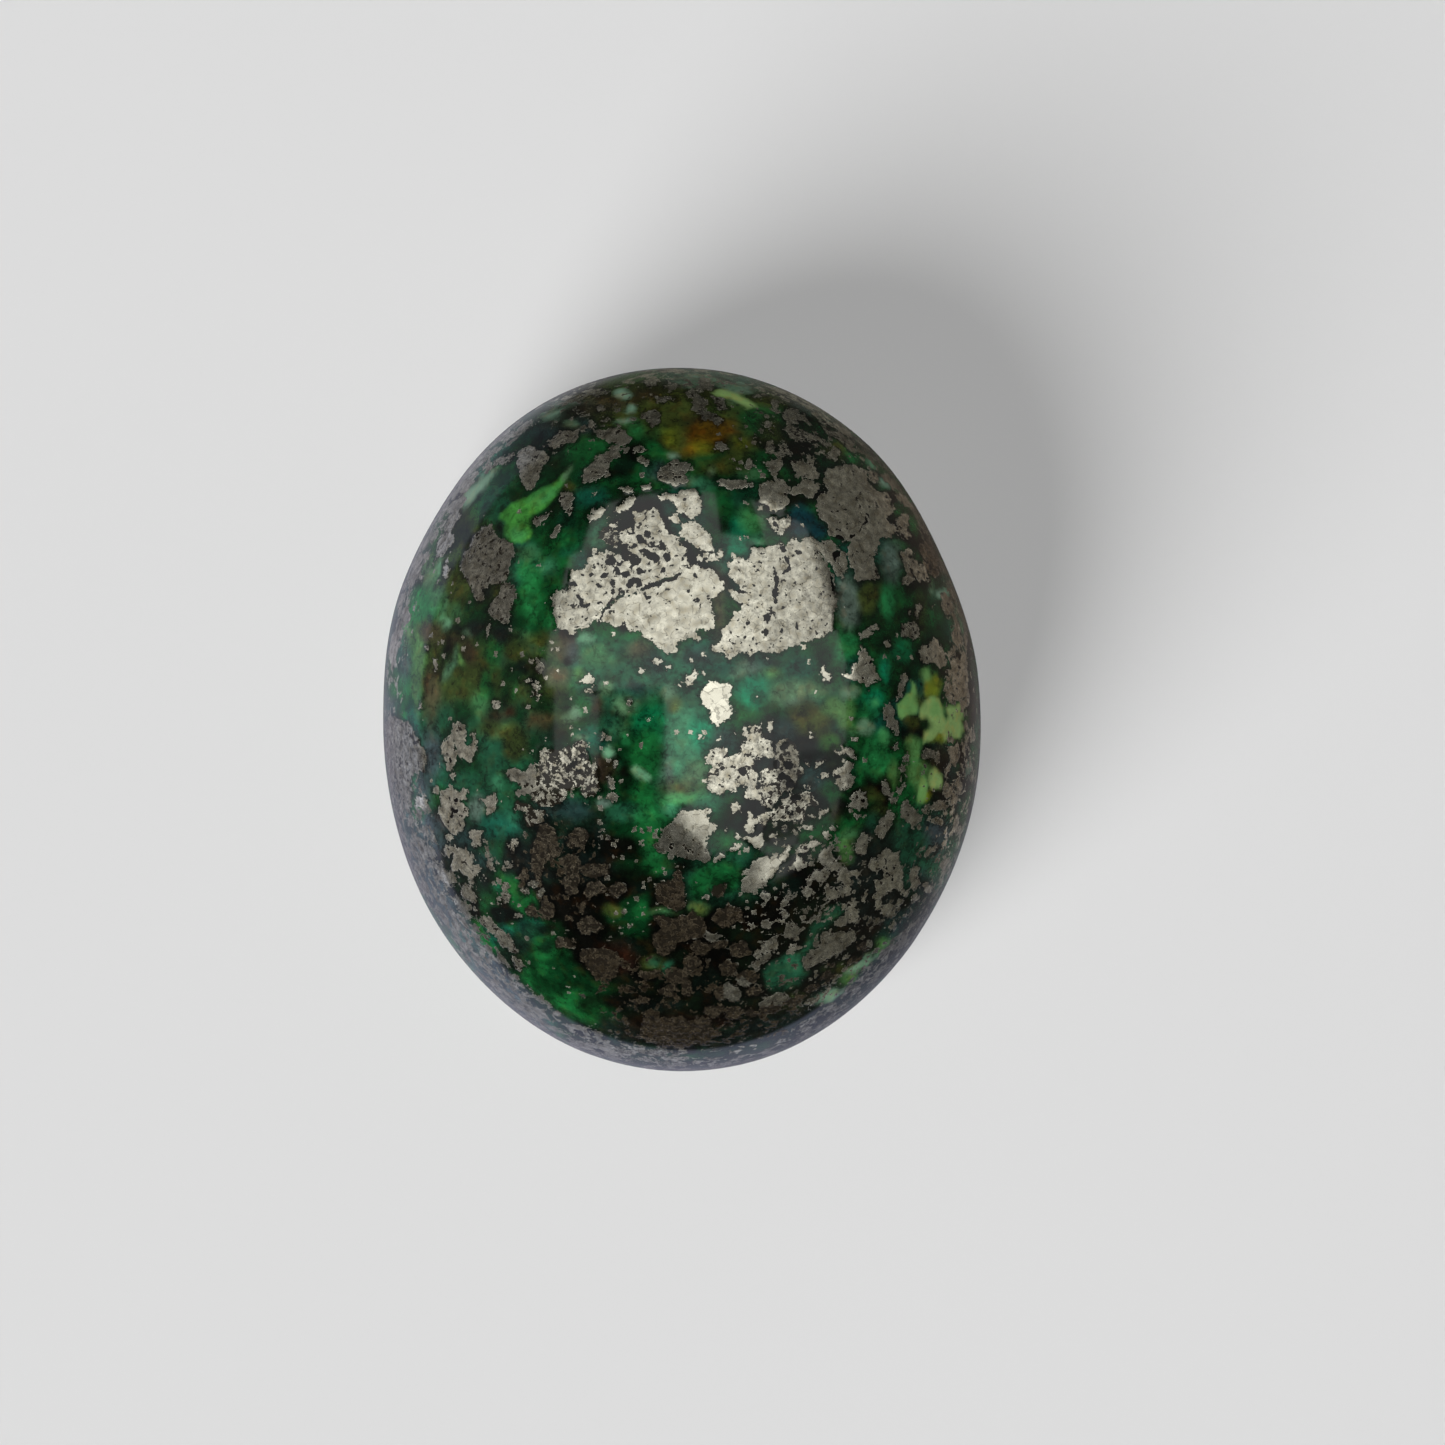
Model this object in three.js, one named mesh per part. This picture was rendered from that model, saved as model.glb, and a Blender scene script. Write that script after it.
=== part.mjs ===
// A cabochon of green turquoise with pyrite: one stone, cut and polished to a dome above its
// girdle, tucked in below the girdle and ground flat underneath to sit in a setting.
// Millimetres, +Z up. The long axis runs along Y. The origin is on the flat base, under the
// middle of the stone's length and width.
import * as THREE from "three";
import { mergeVertices } from "three/addons/utils/BufferGeometryUtils.js";

// Driving dimensions
const LENGTH = 18.0; // along Y, across the girdle
const WIDTH = 15.3; // along X, across the girdle
const GIRDLE_HEIGHT = 2.4; // widest line above the base, at the middle of the stone
const DOME_RISE = 6.0; // apex above the girdle
const BASE_SHARE = 0.84; // the base's outline as a share of the girdle's
const BEVEL_HEIGHT = 0.22; // ground edge round the base
const BEVEL_SHARE = 0.04; // how far the bevel stands out, as a share of the girdle's outline

// The stone was cut by eye, so its dome leans a little and its outline swells and flattens.
const LEAN_SLOPE = 0.06; // girdle's fall for each mm across the stone
const LEAN_TOWARDS = 222; // direction of the low side, degrees from +X
const SWELLS = [
  { at: 120, reach: 34, out: 0.12 },
  { at: 157, reach: 24, out: 0.09 },
  { at: 218, reach: 30, out: 0.04 },
  { at: 32, reach: 24, out: -0.11 },
  { at: 340, reach: 22, out: 0.03 },
]; // reach in degrees either side of at, out in mm

// Mesh fineness
const SIDES = 96;
const DOME_RINGS = 24;
const TUCK_RINGS = 6;

const radians = THREE.MathUtils.degToRad;

// How far a direction is from a swell's middle, in degrees, the short way round.
const turnBetween = (a, b) => Math.abs(((a - b + 540) % 360) - 180);

// The girdle's distance from the middle of the stone in a direction given in degrees.
function girdleRadius(direction) {
  const angle = radians(direction);
  const oval = 1 / Math.hypot(Math.cos(angle) / (WIDTH / 2), Math.sin(angle) / (LENGTH / 2));
  const swell = SWELLS.reduce((sum, { at, reach, out }) => {
    const share = Math.min(1, turnBetween(direction, at) / reach);
    return sum + (out * (1 + Math.cos(Math.PI * share))) / 2;
  }, 0);
  return oval + swell;
}

// Half a section through an upright stone of girdle radius 1, from the base's middle to the apex.
function profile() {
  const points = [new THREE.Vector2(0, 0), new THREE.Vector2(BASE_SHARE, 0)];
  const tuckIn = 1 - BASE_SHARE - BEVEL_SHARE;
  for (let i = 0; i < TUCK_RINGS; i++) {
    const left = 1 - i / TUCK_RINGS; // share of the tuck's height still to climb
    const up = GIRDLE_HEIGHT - (GIRDLE_HEIGHT - BEVEL_HEIGHT) * left;
    points.push(new THREE.Vector2(1 - tuckIn * left * left, up));
  }
  for (let i = 0; i < DOME_RINGS; i++) {
    const climb = (i / DOME_RINGS) * (Math.PI / 2);
    points.push(new THREE.Vector2(Math.cos(climb), GIRDLE_HEIGHT + DOME_RISE * Math.sin(climb)));
  }
  points.push(new THREE.Vector2(0, GIRDLE_HEIGHT + DOME_RISE));
  return points;
}

// The turned form, stretched to the outline and leaned over above its flat base.
function stoneGeometry() {
  const turned = new THREE.LatheGeometry(profile(), SIDES).rotateX(Math.PI / 2);
  turned.deleteAttribute("normal");
  turned.deleteAttribute("uv");
  const stone = mergeVertices(turned, 1e-4);
  const lowSide = new THREE.Vector2(1, 0).rotateAround(new THREE.Vector2(), radians(LEAN_TOWARDS));
  const position = stone.getAttribute("position");
  for (let i = 0; i < position.count; i++) {
    const plan = new THREE.Vector2(position.getX(i), position.getY(i));
    const height = position.getZ(i);
    const direction = (THREE.MathUtils.radToDeg(plan.angle()) + 360) % 360;
    plan.multiplyScalar(girdleRadius(direction));
    const lean = LEAN_SLOPE * plan.dot(lowSide) * Math.min(1, height / GIRDLE_HEIGHT);
    position.setXYZ(i, plan.x, plan.y, height - lean);
  }
  stone.computeVertexNormals();
  return stone;
}

const polishedTurquoise = new THREE.MeshStandardMaterial({
  color: 0x2b5a41,
  roughness: 0.18,
  metalness: 0.1,
});

const cabochon = new THREE.Group();
const stone = new THREE.Mesh(stoneGeometry(), polishedTurquoise);
stone.name = "stone";
cabochon.add(stone);

export default cabochon;
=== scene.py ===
"""A polished cabochon of green turquoise with pyrite, lying on a pale table under soft light."""

import logging
import math
from collections.abc import Iterator
from dataclasses import dataclass, field
from enum import Enum
from itertools import cycle

import bpy
import numpy as np
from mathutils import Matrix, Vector, noise


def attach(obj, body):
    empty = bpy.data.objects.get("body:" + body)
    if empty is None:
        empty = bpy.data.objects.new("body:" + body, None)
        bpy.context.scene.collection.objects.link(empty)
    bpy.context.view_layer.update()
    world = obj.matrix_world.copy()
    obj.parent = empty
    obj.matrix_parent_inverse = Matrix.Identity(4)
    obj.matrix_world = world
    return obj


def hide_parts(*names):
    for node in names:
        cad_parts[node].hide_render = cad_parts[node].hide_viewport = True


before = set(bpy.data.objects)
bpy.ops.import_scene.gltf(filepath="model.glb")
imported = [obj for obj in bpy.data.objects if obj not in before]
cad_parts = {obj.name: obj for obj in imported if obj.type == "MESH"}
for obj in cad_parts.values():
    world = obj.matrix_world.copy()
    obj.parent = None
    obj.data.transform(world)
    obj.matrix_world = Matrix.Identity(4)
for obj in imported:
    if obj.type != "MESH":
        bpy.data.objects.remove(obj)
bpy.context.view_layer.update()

MM = 0.001  # metres in a millimetre
SEED = 4127
FAR = 1e9  # farther than any pixel is
LEVEL = 1e-9  # a side that rises less counts as level
log = logging.getLogger("cabochon")


def linear(colour: str) -> tuple[float, float, float]:
    """Turns an sRGB hex colour to linear light.

    Args:
        colour: Six hex digits with a leading #.

    Returns:
        Red, green and blue as linear values from 0 to 1.
    """
    channels = [int(colour[i : i + 2], 16) / 255 for i in (1, 3, 5)]
    return tuple(c / 12.92 if c <= 0.04045 else ((c + 0.055) / 1.055) ** 2.4 for c in channels)


def smooth(value: np.ndarray, low: float, high: float) -> np.ndarray:
    """Rises smoothly from 0 at low to 1 at high."""
    share = np.clip((value - low) / (high - low), 0.0, 1.0)
    return share * share * (3 - 2 * share)


def wander(points: np.ndarray, wavelength: float, offset: float = 0.0) -> np.ndarray:
    """Gives each point a smooth random vector.

    Args:
        points: Places in mm, one row each.
        wavelength: How far apart the swings are, in mm.
        offset: Moves the whole field, so that two calls differ.

    Returns:
        One vector for each point, each part between about -1 and 1.
    """
    scaled = points / wavelength + offset
    return np.array([noise.noise_vector(p) for p in scaled.tolist()])


@dataclass(frozen=True)
class Wave:
    """A smooth random push, which gives an edge its wander."""

    length: float  # how far apart the swings are, in mm
    reach: float  # how far it pushes, in the unit of what it pushes
    offset: float = 0.0  # moves the whole field, so that two waves differ


def astray(places: np.ndarray, points: np.ndarray, waves: tuple[Wave, ...]) -> np.ndarray:
    """Pushes places about by waves.

    Args:
        places: What is pushed, in pixels or mm, one row each.
        points: Where that lies on the rock, in mm.
        waves: The pushes.

    Returns:
        The pushed places.
    """
    for wave in waves:
        places = places + wander(points, wave.length, wave.offset)[:, : places.shape[1]] * wave.reach
    return places


def stand(name: str, data: bpy.types.ID) -> bpy.types.Object:
    """Puts an object in the scene.

    Args:
        name: The object's name.
        data: Its mesh, lamp or camera.

    Returns:
        The object.
    """
    thing = bpy.data.objects.new(name, data)
    bpy.context.scene.collection.objects.link(thing)
    return thing


# ---------------------------------------------------------------- camera


@dataclass(frozen=True)
class TopCamera:
    """A long lens looking straight down, with the stone a little left of the frame's middle."""

    frame_px: float = 1445.0  # side of the square frame
    stone_px: tuple[float, float] = (681.0, 721.0)  # the stone's middle in the frame
    length_px: float = 702.0  # the stone's length in the frame
    lens: float = 100.0  # focal length in mm
    sensor: float = 36.0  # mm
    near_clip: float = 0.01  # metres
    far_clip: float = 5.0

    def mm_per_px(self, stone_length: float) -> float:
        """Size of a frame pixel at the girdle, in mm."""
        return stone_length / self.length_px

    def height(self, stone_length: float) -> float:
        """Height of the lens above the girdle, in mm."""
        return self.frame_px * self.mm_per_px(stone_length) * self.lens / self.sensor

    def pixels(self, points: np.ndarray, stone_length: float, girdle: float) -> np.ndarray:
        """Finds where points land in the frame.

        Args:
            points: Places in mm, one row each.
            stone_length: The stone's length in mm.
            girdle: The girdle's height in mm.

        Returns:
            Frame pixels from the top left corner, one row each.
        """
        reach = self.height(stone_length)
        side = self.mm_per_px(stone_length)
        scale = reach / (reach - (points[:, 2] - girdle)) / side
        middle = self.frame_px / 2
        off_x = middle - self.stone_px[0]
        off_y = self.stone_px[1] - middle
        across = (points[:, 0] - off_x * side) * scale + middle
        down = middle - (points[:, 1] - off_y * side) * scale
        return np.stack([across, down], axis=1)

    def build(self, stone_length: float, girdle: float) -> None:
        """Adds the camera over the stone.

        Args:
            stone_length: The stone's length in mm.
            girdle: The girdle's height in mm.
        """
        side = self.mm_per_px(stone_length)
        data = bpy.data.cameras.new("top_camera")
        data.lens = self.lens
        data.sensor_width = self.sensor
        data.clip_start = self.near_clip
        data.clip_end = self.far_clip
        camera = stand("top_camera", data)
        camera.location = Vector((
            (self.frame_px / 2 - self.stone_px[0]) * side,
            (self.stone_px[1] - self.frame_px / 2) * side,
            self.height(stone_length) + girdle,
        )) * MM
        bpy.context.scene.camera = camera


# ---------------------------------------------------------------- the stone's markings


class Tint(Enum):
    """Colours of the turquoise body, from clean green to the rock left in it."""

    BLACK = "#040403"  # the rock's black matrix
    INK = "#030D09"  # matrix seen through green
    SHADE = "#0C1412"
    DUSK = "#1D3230"
    DEEP = "#03260F"
    PINE = "#143E2A"
    FOREST = "#0F4D23"
    EMERALD = "#07623A"
    GREEN = "#1E6B37"
    SPRING = "#237C44"
    BRIGHT = "#459453"
    FERN = "#36633C"
    HERB = "#4F7C42"
    LIME = "#387A30"
    LEAF = "#79AF62"
    PALE_LIME = "#98BE71"
    TEAL = "#0E4B3A"
    SEA = "#067F59"
    BLUE = "#0A3A44"
    MILK = "#20543B"
    JADE = "#3A7C58"
    FOAM = "#689C78"
    CELADON = "#86AC92"
    SAGE = "#64896A"
    LICHEN = "#577A56"
    OLIVE = "#414B1E"
    MOSS = "#2C3716"
    YELLOW = "#7C8A20"
    AMBER = "#5A430B"
    BROWN = "#3A3320"
    UMBER = "#231C12"
    RUST = "#22120C"
    STONE = "#48432F"
    GREY = "#52655A"
    ASH = "#627568"
    SLATE = "#384449"


def segment_gap(spots: np.ndarray, start: np.ndarray, end: np.ndarray) -> np.ndarray:
    """Measures how far spots are from a straight side.

    Args:
        spots: Frame pixels, one row each.
        start: The side's first end.
        end: Its other end.

    Returns:
        The distance of each spot.
    """
    run = end - start
    along = np.clip((spots - start) @ run / (run @ run), 0, 1)
    return np.hypot(*(spots - start - along[:, None] * run).T)


@dataclass(frozen=True)
class Mark:
    """A flat mark in frame pixels: corners x,y x,y x,y ... or an oval x,y,across,down,turn."""

    text: str

    def corners(self) -> np.ndarray:
        """The corners, one row each, or the one row that an oval has."""
        return np.array([[float(n) for n in pair.split(",")] for pair in self.text.split()])

    def depth(self, pixels: np.ndarray, margin: float) -> tuple[np.ndarray, np.ndarray]:
        """How deep the pixels near the mark lie inside it, and below 0 outside it.

        Args:
            pixels: Frame pixels, one row each.
            margin: How far round the mark to look.

        Returns:
            The indices of the pixels that are near, and for each its depth in pixels.
        """
        corners = self.corners()
        if len(corners) == 1:
            return self.oval_depth(pixels, margin, *corners[0])
        low = corners.min(axis=0) - margin
        high = corners.max(axis=0) + margin
        near = np.flatnonzero(((pixels > low) & (pixels < high)).all(axis=1))
        spots = pixels[near]
        gap = np.full(len(near), FAR)
        inside = np.zeros(len(near), dtype=bool)
        for start, end in zip(corners, np.roll(corners, -1, axis=0)):
            gap = np.minimum(gap, segment_gap(spots, start, end))
            crosses = (start[1] > spots[:, 1]) != (end[1] > spots[:, 1])
            run, rise = end - start
            rise = rise if abs(rise) > LEVEL else LEVEL
            inside ^= crosses & (spots[:, 0] < start[0] + (spots[:, 1] - start[1]) * run / rise)
        return near, np.where(inside, gap, -gap)

    def path_gap(self, pixels: np.ndarray) -> np.ndarray:
        """How far pixels are from the open path along the corners.

        Args:
            pixels: Frame pixels, one row each.

        Returns:
            The distance of each pixel.
        """
        corners = self.corners()
        gap = np.full(len(pixels), FAR)
        for start, end in zip(corners, corners[1:]):
            gap = np.minimum(gap, segment_gap(pixels, start, end))
        return gap

    @staticmethod
    def oval_depth(
        pixels: np.ndarray, margin: float, x: float, y: float, across: float, down: float, turn: float = 0.0
    ) -> tuple[np.ndarray, np.ndarray]:
        """How deep the pixels near an oval lie inside it.

        Args:
            pixels: Frame pixels, one row each.
            margin: How far round the oval to look.
            x: The oval's middle, across the frame.
            y: The oval's middle, down the frame.
            across: Half its width.
            down: Half its height.
            turn: Its turn anticlockwise in degrees.

        Returns:
            The indices of the pixels that are near, and for each its depth in pixels.
        """
        off = pixels - (x, y)
        near = np.flatnonzero(np.hypot(*off.T) < max(across, down) + margin)
        right, below = off[near].T
        angle = math.radians(turn)
        along = right * math.cos(angle) - below * math.sin(angle)
        aside = right * math.sin(angle) + below * math.cos(angle)
        share = np.hypot(along / across, aside / down)
        return near, (1 - share) * min(across, down)


def marks_in(text: str) -> list[Mark]:
    """Splits a list of marks at its semicolons."""
    return [Mark(part) for part in text.split(";")]


def rows_in(*tables: str) -> list[tuple[list[str], list[Mark]]]:
    """Reads tables of marks.

    Args:
        *tables: Rows that start with a dash: the settings, a colon, and the marks.

    Returns:
        For each row its settings and its marks.
    """
    rows = [row.split(":") for table in tables for row in table.split("- ")[1:]]
    return [(settings.split(), marks_in(marks)) for settings, marks in rows]


# Crusts of pyrite. Each row gives how much of them is pitted down to the black rock, the brightness
# of their metal, which is less where it is tarnished, and the marks. Low tones at the bottom are painted
# shade, and tones above 1.1 lift the metal past bare pyrite as a painted highlight.
CRUSTS = {
    "the big bright shield left of the crown, and its lobes": """
    - 0.32 0.88: 552,596 558,591 566,588 570,583 570,573 580,570 585,569 587,561 593,554 605,553 613,550
    616,555 623,550 620,546 619,538 621,527 627,526 630,531 635,527 635,513 645,511 651,508 659,510
    660,518 665,526 674,531 678,535 680,543 686,549 685,555 690,561 689,566 679,572 655,584 640,593
    622,596 607,606 585,628 578,630 576,633 562,630 555,627 553,612
    - 0.24 1.00: 655,585 679,573 690,565 696,566 704,568 712,570 718,577 724,584 722,591 716,593 711,600
    712,612 717,618 716,628 708,631 696,628 698,634 703,638 698,642 688,635 686,640 678,641 676,647
    673,654 666,652 659,648 651,642 643,635 639,631 631,631 625,621 617,626 607,623 599,622 593,620
    600,612 610,604 622,598 640,594; 658,495 667,495 676,496 686,489 696,489 701,498 700,514 692,519
    684,517 679,511 672,503 663,502; 679,523 686,522 698,522 704,529 712,539 715,549 708,552 698,549
    690,543 682,536; 698,557,4,3; 721,554,3,4; 714,560,5,2; 627,489,5,2; 615,511 627,510 633,504 636,495
    627,498 619,505; 640,486 650,484 653,489 644,491; 586,517 593,510 604,509 601,517 589,522;
    614,524,2,3; 676,519,4,5
    """,
    "a piece below the shield right of the crown": """
    - 0.32 0.79: 730,650,10,4,-15
    """,
    # tone 1.50: a painted highlight, the piece brightened past bare pyrite where it catches the light
    "the clean bright piece at the crown": """
    - 0.00 1.50: 701,693 704,687 710,683 715,684 721,681 730,685 730,692 733,696 730,700 732,709 732,716
    725,722 718,726 711,720 709,712 705,704
    """,
    "small bright pieces between and below the shields": """
    - 0.10 1.06: 658,662,3,2.5; 670,667,3,2; 643,671,2.5,2; 690,659,3,2.5; 705,674,2,2.5; 679,684,2,2;
    756,697,2.5,2; 701,738,2.5,2.5; 775,837,2.5,2.5; 737,837,3,3; 727,828,2,2; 737,800 742,808 742,812
    738,810 733,815 731,809 734,804; 745,829 747,817 751,812 753,819 756,822 755,829 748,831; 743,838
    749,835 753,836 763,834 766,841 760,852 755,848 749,843; 740,888 742,881 747,879 746,871 753,864
    763,859 777,857 789,847 790,853 784,860 779,866 776,876 767,881 760,888 749,894 743,891; 672,822
    679,816 683,812 691,811 703,811 706,808 711,812 707,816 710,822 717,826 712,835 706,841 705,846
    697,842 689,833 680,826; 711,861 724,853 726,857 714,864; 728,851 736,845 738,849 730,853;
    746,734,3,5; 771,727,2.5,5; 734,733,4,2; 785,771 803,767 803,770 788,775; 587,672 592,673 592,681
    594,684 580,684 582,680 586,679; 820,669 823,664 826,665 825,670 831,672 831,677 827,679 825,675
    """,
    "the cluster below the crown": """
    - 0.44 1.08: 706,757 708,751 718,747 727,749 727,755 732,754 739,753 741,745 749,742 751,739 750,728
    756,724 760,722 763,726 761,736 767,740 773,745 771,755 761,759 755,760 751,768 758,774 758,786
    753,791 746,786 741,785 734,793 722,793 711,792 706,785 710,779 708,773 715,767 710,763 706,763;
    753,793,8,6; 800,829,3,2; 811,828,2.5,2.5; 812,817,3,1.5; 806,826,2,3; 818,812 827,806 828,812
    820,820; 833,778 835,770 841,765 846,760 852,761 850,768 853,776 852,787 846,790 841,787 833,787
    835,782; 850,794 858,790 866,790 866,796 867,807 858,809 846,807 852,801; 835,750 841,750 843,744
    846,749 852,750 857,756 855,759 849,755 843,753 836,753; 814,762 818,761 825,757 823,762 817,767;
    807,762,3,2; 812,734,2,3; 825,776,3,1.5; 854,740,3,2; 805,787,3,2
    - 0.74 1.04: 537,761 541,750 549,752 554,748 563,749 571,746 574,744 583,740 585,749 590,757 593,766
    596,771 596,779 601,788 595,797 590,796 585,788 573,791 566,791 559,797 554,796 549,793 542,794
    537,798 538,788 535,779 537,772; 514,803 517,799 527,803 537,810 544,811 546,818 539,818 530,826
    525,821 527,816 520,808 514,810
    """,
    "the dull crusts of the upper right": """
    - 0.32 1.00: 828,469 841,466 853,465 865,469 867,480 877,491 885,500 894,509 887,518 896,531 889,538
    881,535 878,546 874,557 874,567 878,578 867,580 853,580 859,572 850,567 848,554 852,542 842,542
    828,535 829,524 818,518 817,509 820,494 828,491 822,483 824,474; 811,539 822,541 833,543 842,550
    846,557 848,570 842,578 835,578 833,568 828,561 820,552; 759,485 770,482 780,480 786,485 789,495
    787,506 780,511 767,511 759,502; 791,489 800,482 811,481 819,485 815,498 805,496 793,495; 764,460
    774,458 781,459 780,470 774,478 768,472; 791,463 802,459 813,466 818,476 811,480 796,474; 812,463,4,3;
    834,453,6,5; 746,459 751,461 752,468 748,467; 714,480 726,481 738,480 753,482 752,486 733,489 722,485;
    714,450 718,442 723,441 728,451; 898,494 906,494 913,505 911,509 904,506
    - 0.50 0.80: 896,520 905,522 913,536 908,540 899,534; 768,520 774,515 781,520 789,515 791,524 787,531
    780,535 774,528; 770,446,4,7; 781,428 793,426 804,433 805,441 796,442 789,435; 803,430 816,437 827,447
    822,447 810,440; 783,411 802,419 796,424 785,420; 822,425 832,428 845,437 848,442 836,438 826,434;
    700,376 711,380 706,389 700,386; 711,396 720,397 728,408 724,413 714,408; 700,411 712,412 724,418
    718,424 704,421; 902,552 912,556 921,572 920,584 908,574; 941,592 951,598 954,612 946,616 941,606;
    903,624 914,621 922,630 915,640 903,636
    """,
    "the dull crusts of the upper left": """
    - 0.40 0.90: 518,452 524,447 532,445 538,450 546,452 548,458 542,466 539,476 536,486 528,490 521,486
    522,476 518,470 517,462; 544,446 552,441 556,434 562,431 570,432 578,430 579,437 570,440 566,444
    558,449 550,449; 594,430 603,432 609,428 617,425 627,432 631,440 627,446 619,445 611,441 603,440
    595,436; 581,476 587,466 595,460 603,453 609,450 615,453 612,462 607,472 597,479 587,484 582,483;
    641,411 657,410 661,416 660,424 653,429 647,422; 632,446 639,444 645,450 637,453; 637,459 649,460
    648,465 640,465; 656,473 665,464 676,460 690,464 688,474 687,482 676,486 668,482 661,478; 561,492
    571,491 573,503 570,514 564,511 560,501; 548,540 555,528 560,526 561,532 553,538; 541,518,9,3,40;
    630,489,3,2; 485,628 489,620 490,628 487,639; 459,511 461,515 455,523 453,533 451,545 441,557 432,563
    437,555 439,543 445,529 451,517; 446,570,3,7,-10; 502,466 510,454 516,450 508,462; 500,461,3,6,-40
    """,
    "the left side": """
    - 0.40 1.18: 421,802,5,5; 449,732 452,735 454,744 458,752 456,762 454,767 448,771 446,764 444,752
    441,745 443,740 448,737; 453,723 458,720 464,725 467,732 465,740 468,749 472,745 472,733 475,733
    476,744 474,752 472,760 467,761 460,757 458,749 454,739 452,730; 453,775,3,4; 441,790 449,789 460,791
    467,789 468,798 460,801 468,808 466,816 462,820 462,828 456,835 450,832 446,826 442,818 436,810
    441,804 443,796; 538,818,6,5; 588,792,6,4; 456,866,6,5; 436,791,4,3; 480,797 490,798 495,795 498,801
    493,810 489,815 486,809 487,803; 469,831 476,829 482,831 480,837 480,842 474,845 470,838; 453,858
    457,849 466,848 471,856 472,865 478,865 480,872 474,878 467,877 461,871 455,865; 507,845 510,842
    514,838 518,842 514,847 514,852 509,850; 448,850,4,6; 449,837,3,4; 454,848,3,3; 497,703,5,4;
    437,664,2.5,6; 426,647,2,2; 421,706,1.8,4; 537,686,4,3; 536,694,4,3; 528,705,3,3; 528,681,3,2;
    589,691,4,2
    - 0.40 0.95: 629,704,3,3; 602,735,2,3; 615,763,3,4; 612,797,5,4; 611,784,3,7; 506,771 519,771 536,762
    537,779 535,788 530,794 520,796 517,791 522,784 510,779
    """,
    # tone 0.33: painted shade, the metal darker towards the bottom
    "the dark heap at the lower left": """
    - 0.72 0.33: 537,825 546,821 552,826 559,833 557,845 563,852 551,860 537,860 533,847 537,837; 566,843
    569,833 576,827 585,830 589,837 585,847 569,848; 531,854 541,852 546,861 541,876 542,887 537,885
    532,874; 559,858 566,854 576,854 581,863 579,872 577,891 570,897 563,885 565,871; 594,871,13,8;
    617,890,9,8; 595,889,10,8; 577,922 585,917 596,919 605,928 596,935 583,934; 565,943,11,6; 547,910,8,9;
    526,909 530,905 537,911 538,917 530,917; 518,873 524,870 530,874 528,880 520,877
    - 0.42 0.84: 519,916,4,2; 533,885,4,3; 525,890,4,3; 505,886,4,4; 506,897,4,5; 500,901,2,4; 511,865,3,2;
    505,867,2,2; 541,893,3,3; 498,880,2,2; 490,865,3,4; 437,871 444,870 450,876 453,884 444,884 441,878;
    460,886 468,886 478,898 476,904 468,900 461,893; 481,915 491,916 496,926 509,935 515,945 520,952
    511,952 500,945 491,934 483,924; 512,957 519,958 526,967 520,969 513,964
    """,
    # tones 0.26 and 0.66: painted shade, the metal darker towards the bottom
    "the bottom": """
    - 0.72 0.26: 654,891 660,881 671,879 677,869 683,875 685,891 684,905 679,911 669,908 656,899; 652,944
    660,928 652,918 662,914 677,918 691,912 703,916 707,926 701,938 689,940 677,944 669,954 658,954;
    711,912 722,908 728,903 734,905 742,910 747,920 744,924 736,922 728,930 715,924 710,920; 710,891
    715,886 725,884 730,891 724,897 715,895; 604,964,17,14; 640,1022 655,1017 680,1018 700,1021 722,1034
    712,1042 690,1046 660,1046 640,1038
    - 0.38 0.66: 712,936,10,4; 716,991 726,983 738,987 742,995 732,1001 722,999; 745,979,7,6;
    775,1001,15,7,15; 782,932 787,924 797,922 803,930 795,938 783,940; 803,922 813,915 823,911 820,918
    809,923; 761,944 771,940 779,936 777,942 766,947; 762,956 773,950 776,952 766,961 754,967 752,963;
    803,961 811,950 822,944 821,938 824,932 834,934 848,930 856,932 854,940 846,950 834,956 822,961
    811,969 805,969; 837,925 842,918 850,910 858,912 856,918 846,924; 868,945,5,4
    """,
    "the lower right": """
    - 0.34 1.00: 818,856 822,849 830,848 834,856 841,865 839,871 830,870 824,867; 806,878 813,874 826,869
    828,877 822,885 815,881; 795,865 799,856 807,861 807,869 801,872; 797,847 805,842 811,844 809,850
    801,852; 814,843,4,3; 879,856 889,848 893,854 899,850 898,861 902,867 903,883 901,891 893,889 885,895
    879,891 875,881 883,879 881,869; 874,865,5,6; 827,895 834,887 838,889 837,897 832,902 828,900;
    848,890,3,5; 807,892,3,5; 786,903,4,3; 707,898,3,2; 761,891 768,893 771,896 766,900 762,897; 822,833
    827,830 831,834 830,840 826,840; 832,827,4,3; 856,848 861,834 867,836 869,842 864,854 858,854; 882,817
    890,808 895,813 895,820 887,830 881,839 875,833 879,825; 852,817 855,812 859,814 858,819; 898,811
    902,804 908,802 913,808 921,816 922,820 916,822 915,830 912,828 908,820 901,817; 931,851,7,3,40;
    845,876,6,7
    """,
    "the right side": """
    - 0.34 1.06: 858,632 867,629 873,632 870,638 861,638; 920,651 924,643 928,648 933,637 938,638 941,648
    945,654 947,664 942,667 930,664 921,661; 950,664 957,658 970,672 970,684 964,696 957,704 951,700
    953,687; 947,687,3,12; 898,689 902,675 908,674 907,684 902,695 898,700; 884,704 890,700 895,709
    893,719 900,723 899,733 895,736 890,727 884,719 882,710; 880,784 884,780 889,787 891,796 887,795
    882,790; 896,790 902,781 905,782 902,790 898,795; 893,801,3,4; 926,754,4,5; 937,757,3,5; 948,748
    956,745 960,755 955,768 949,762
    """,
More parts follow.
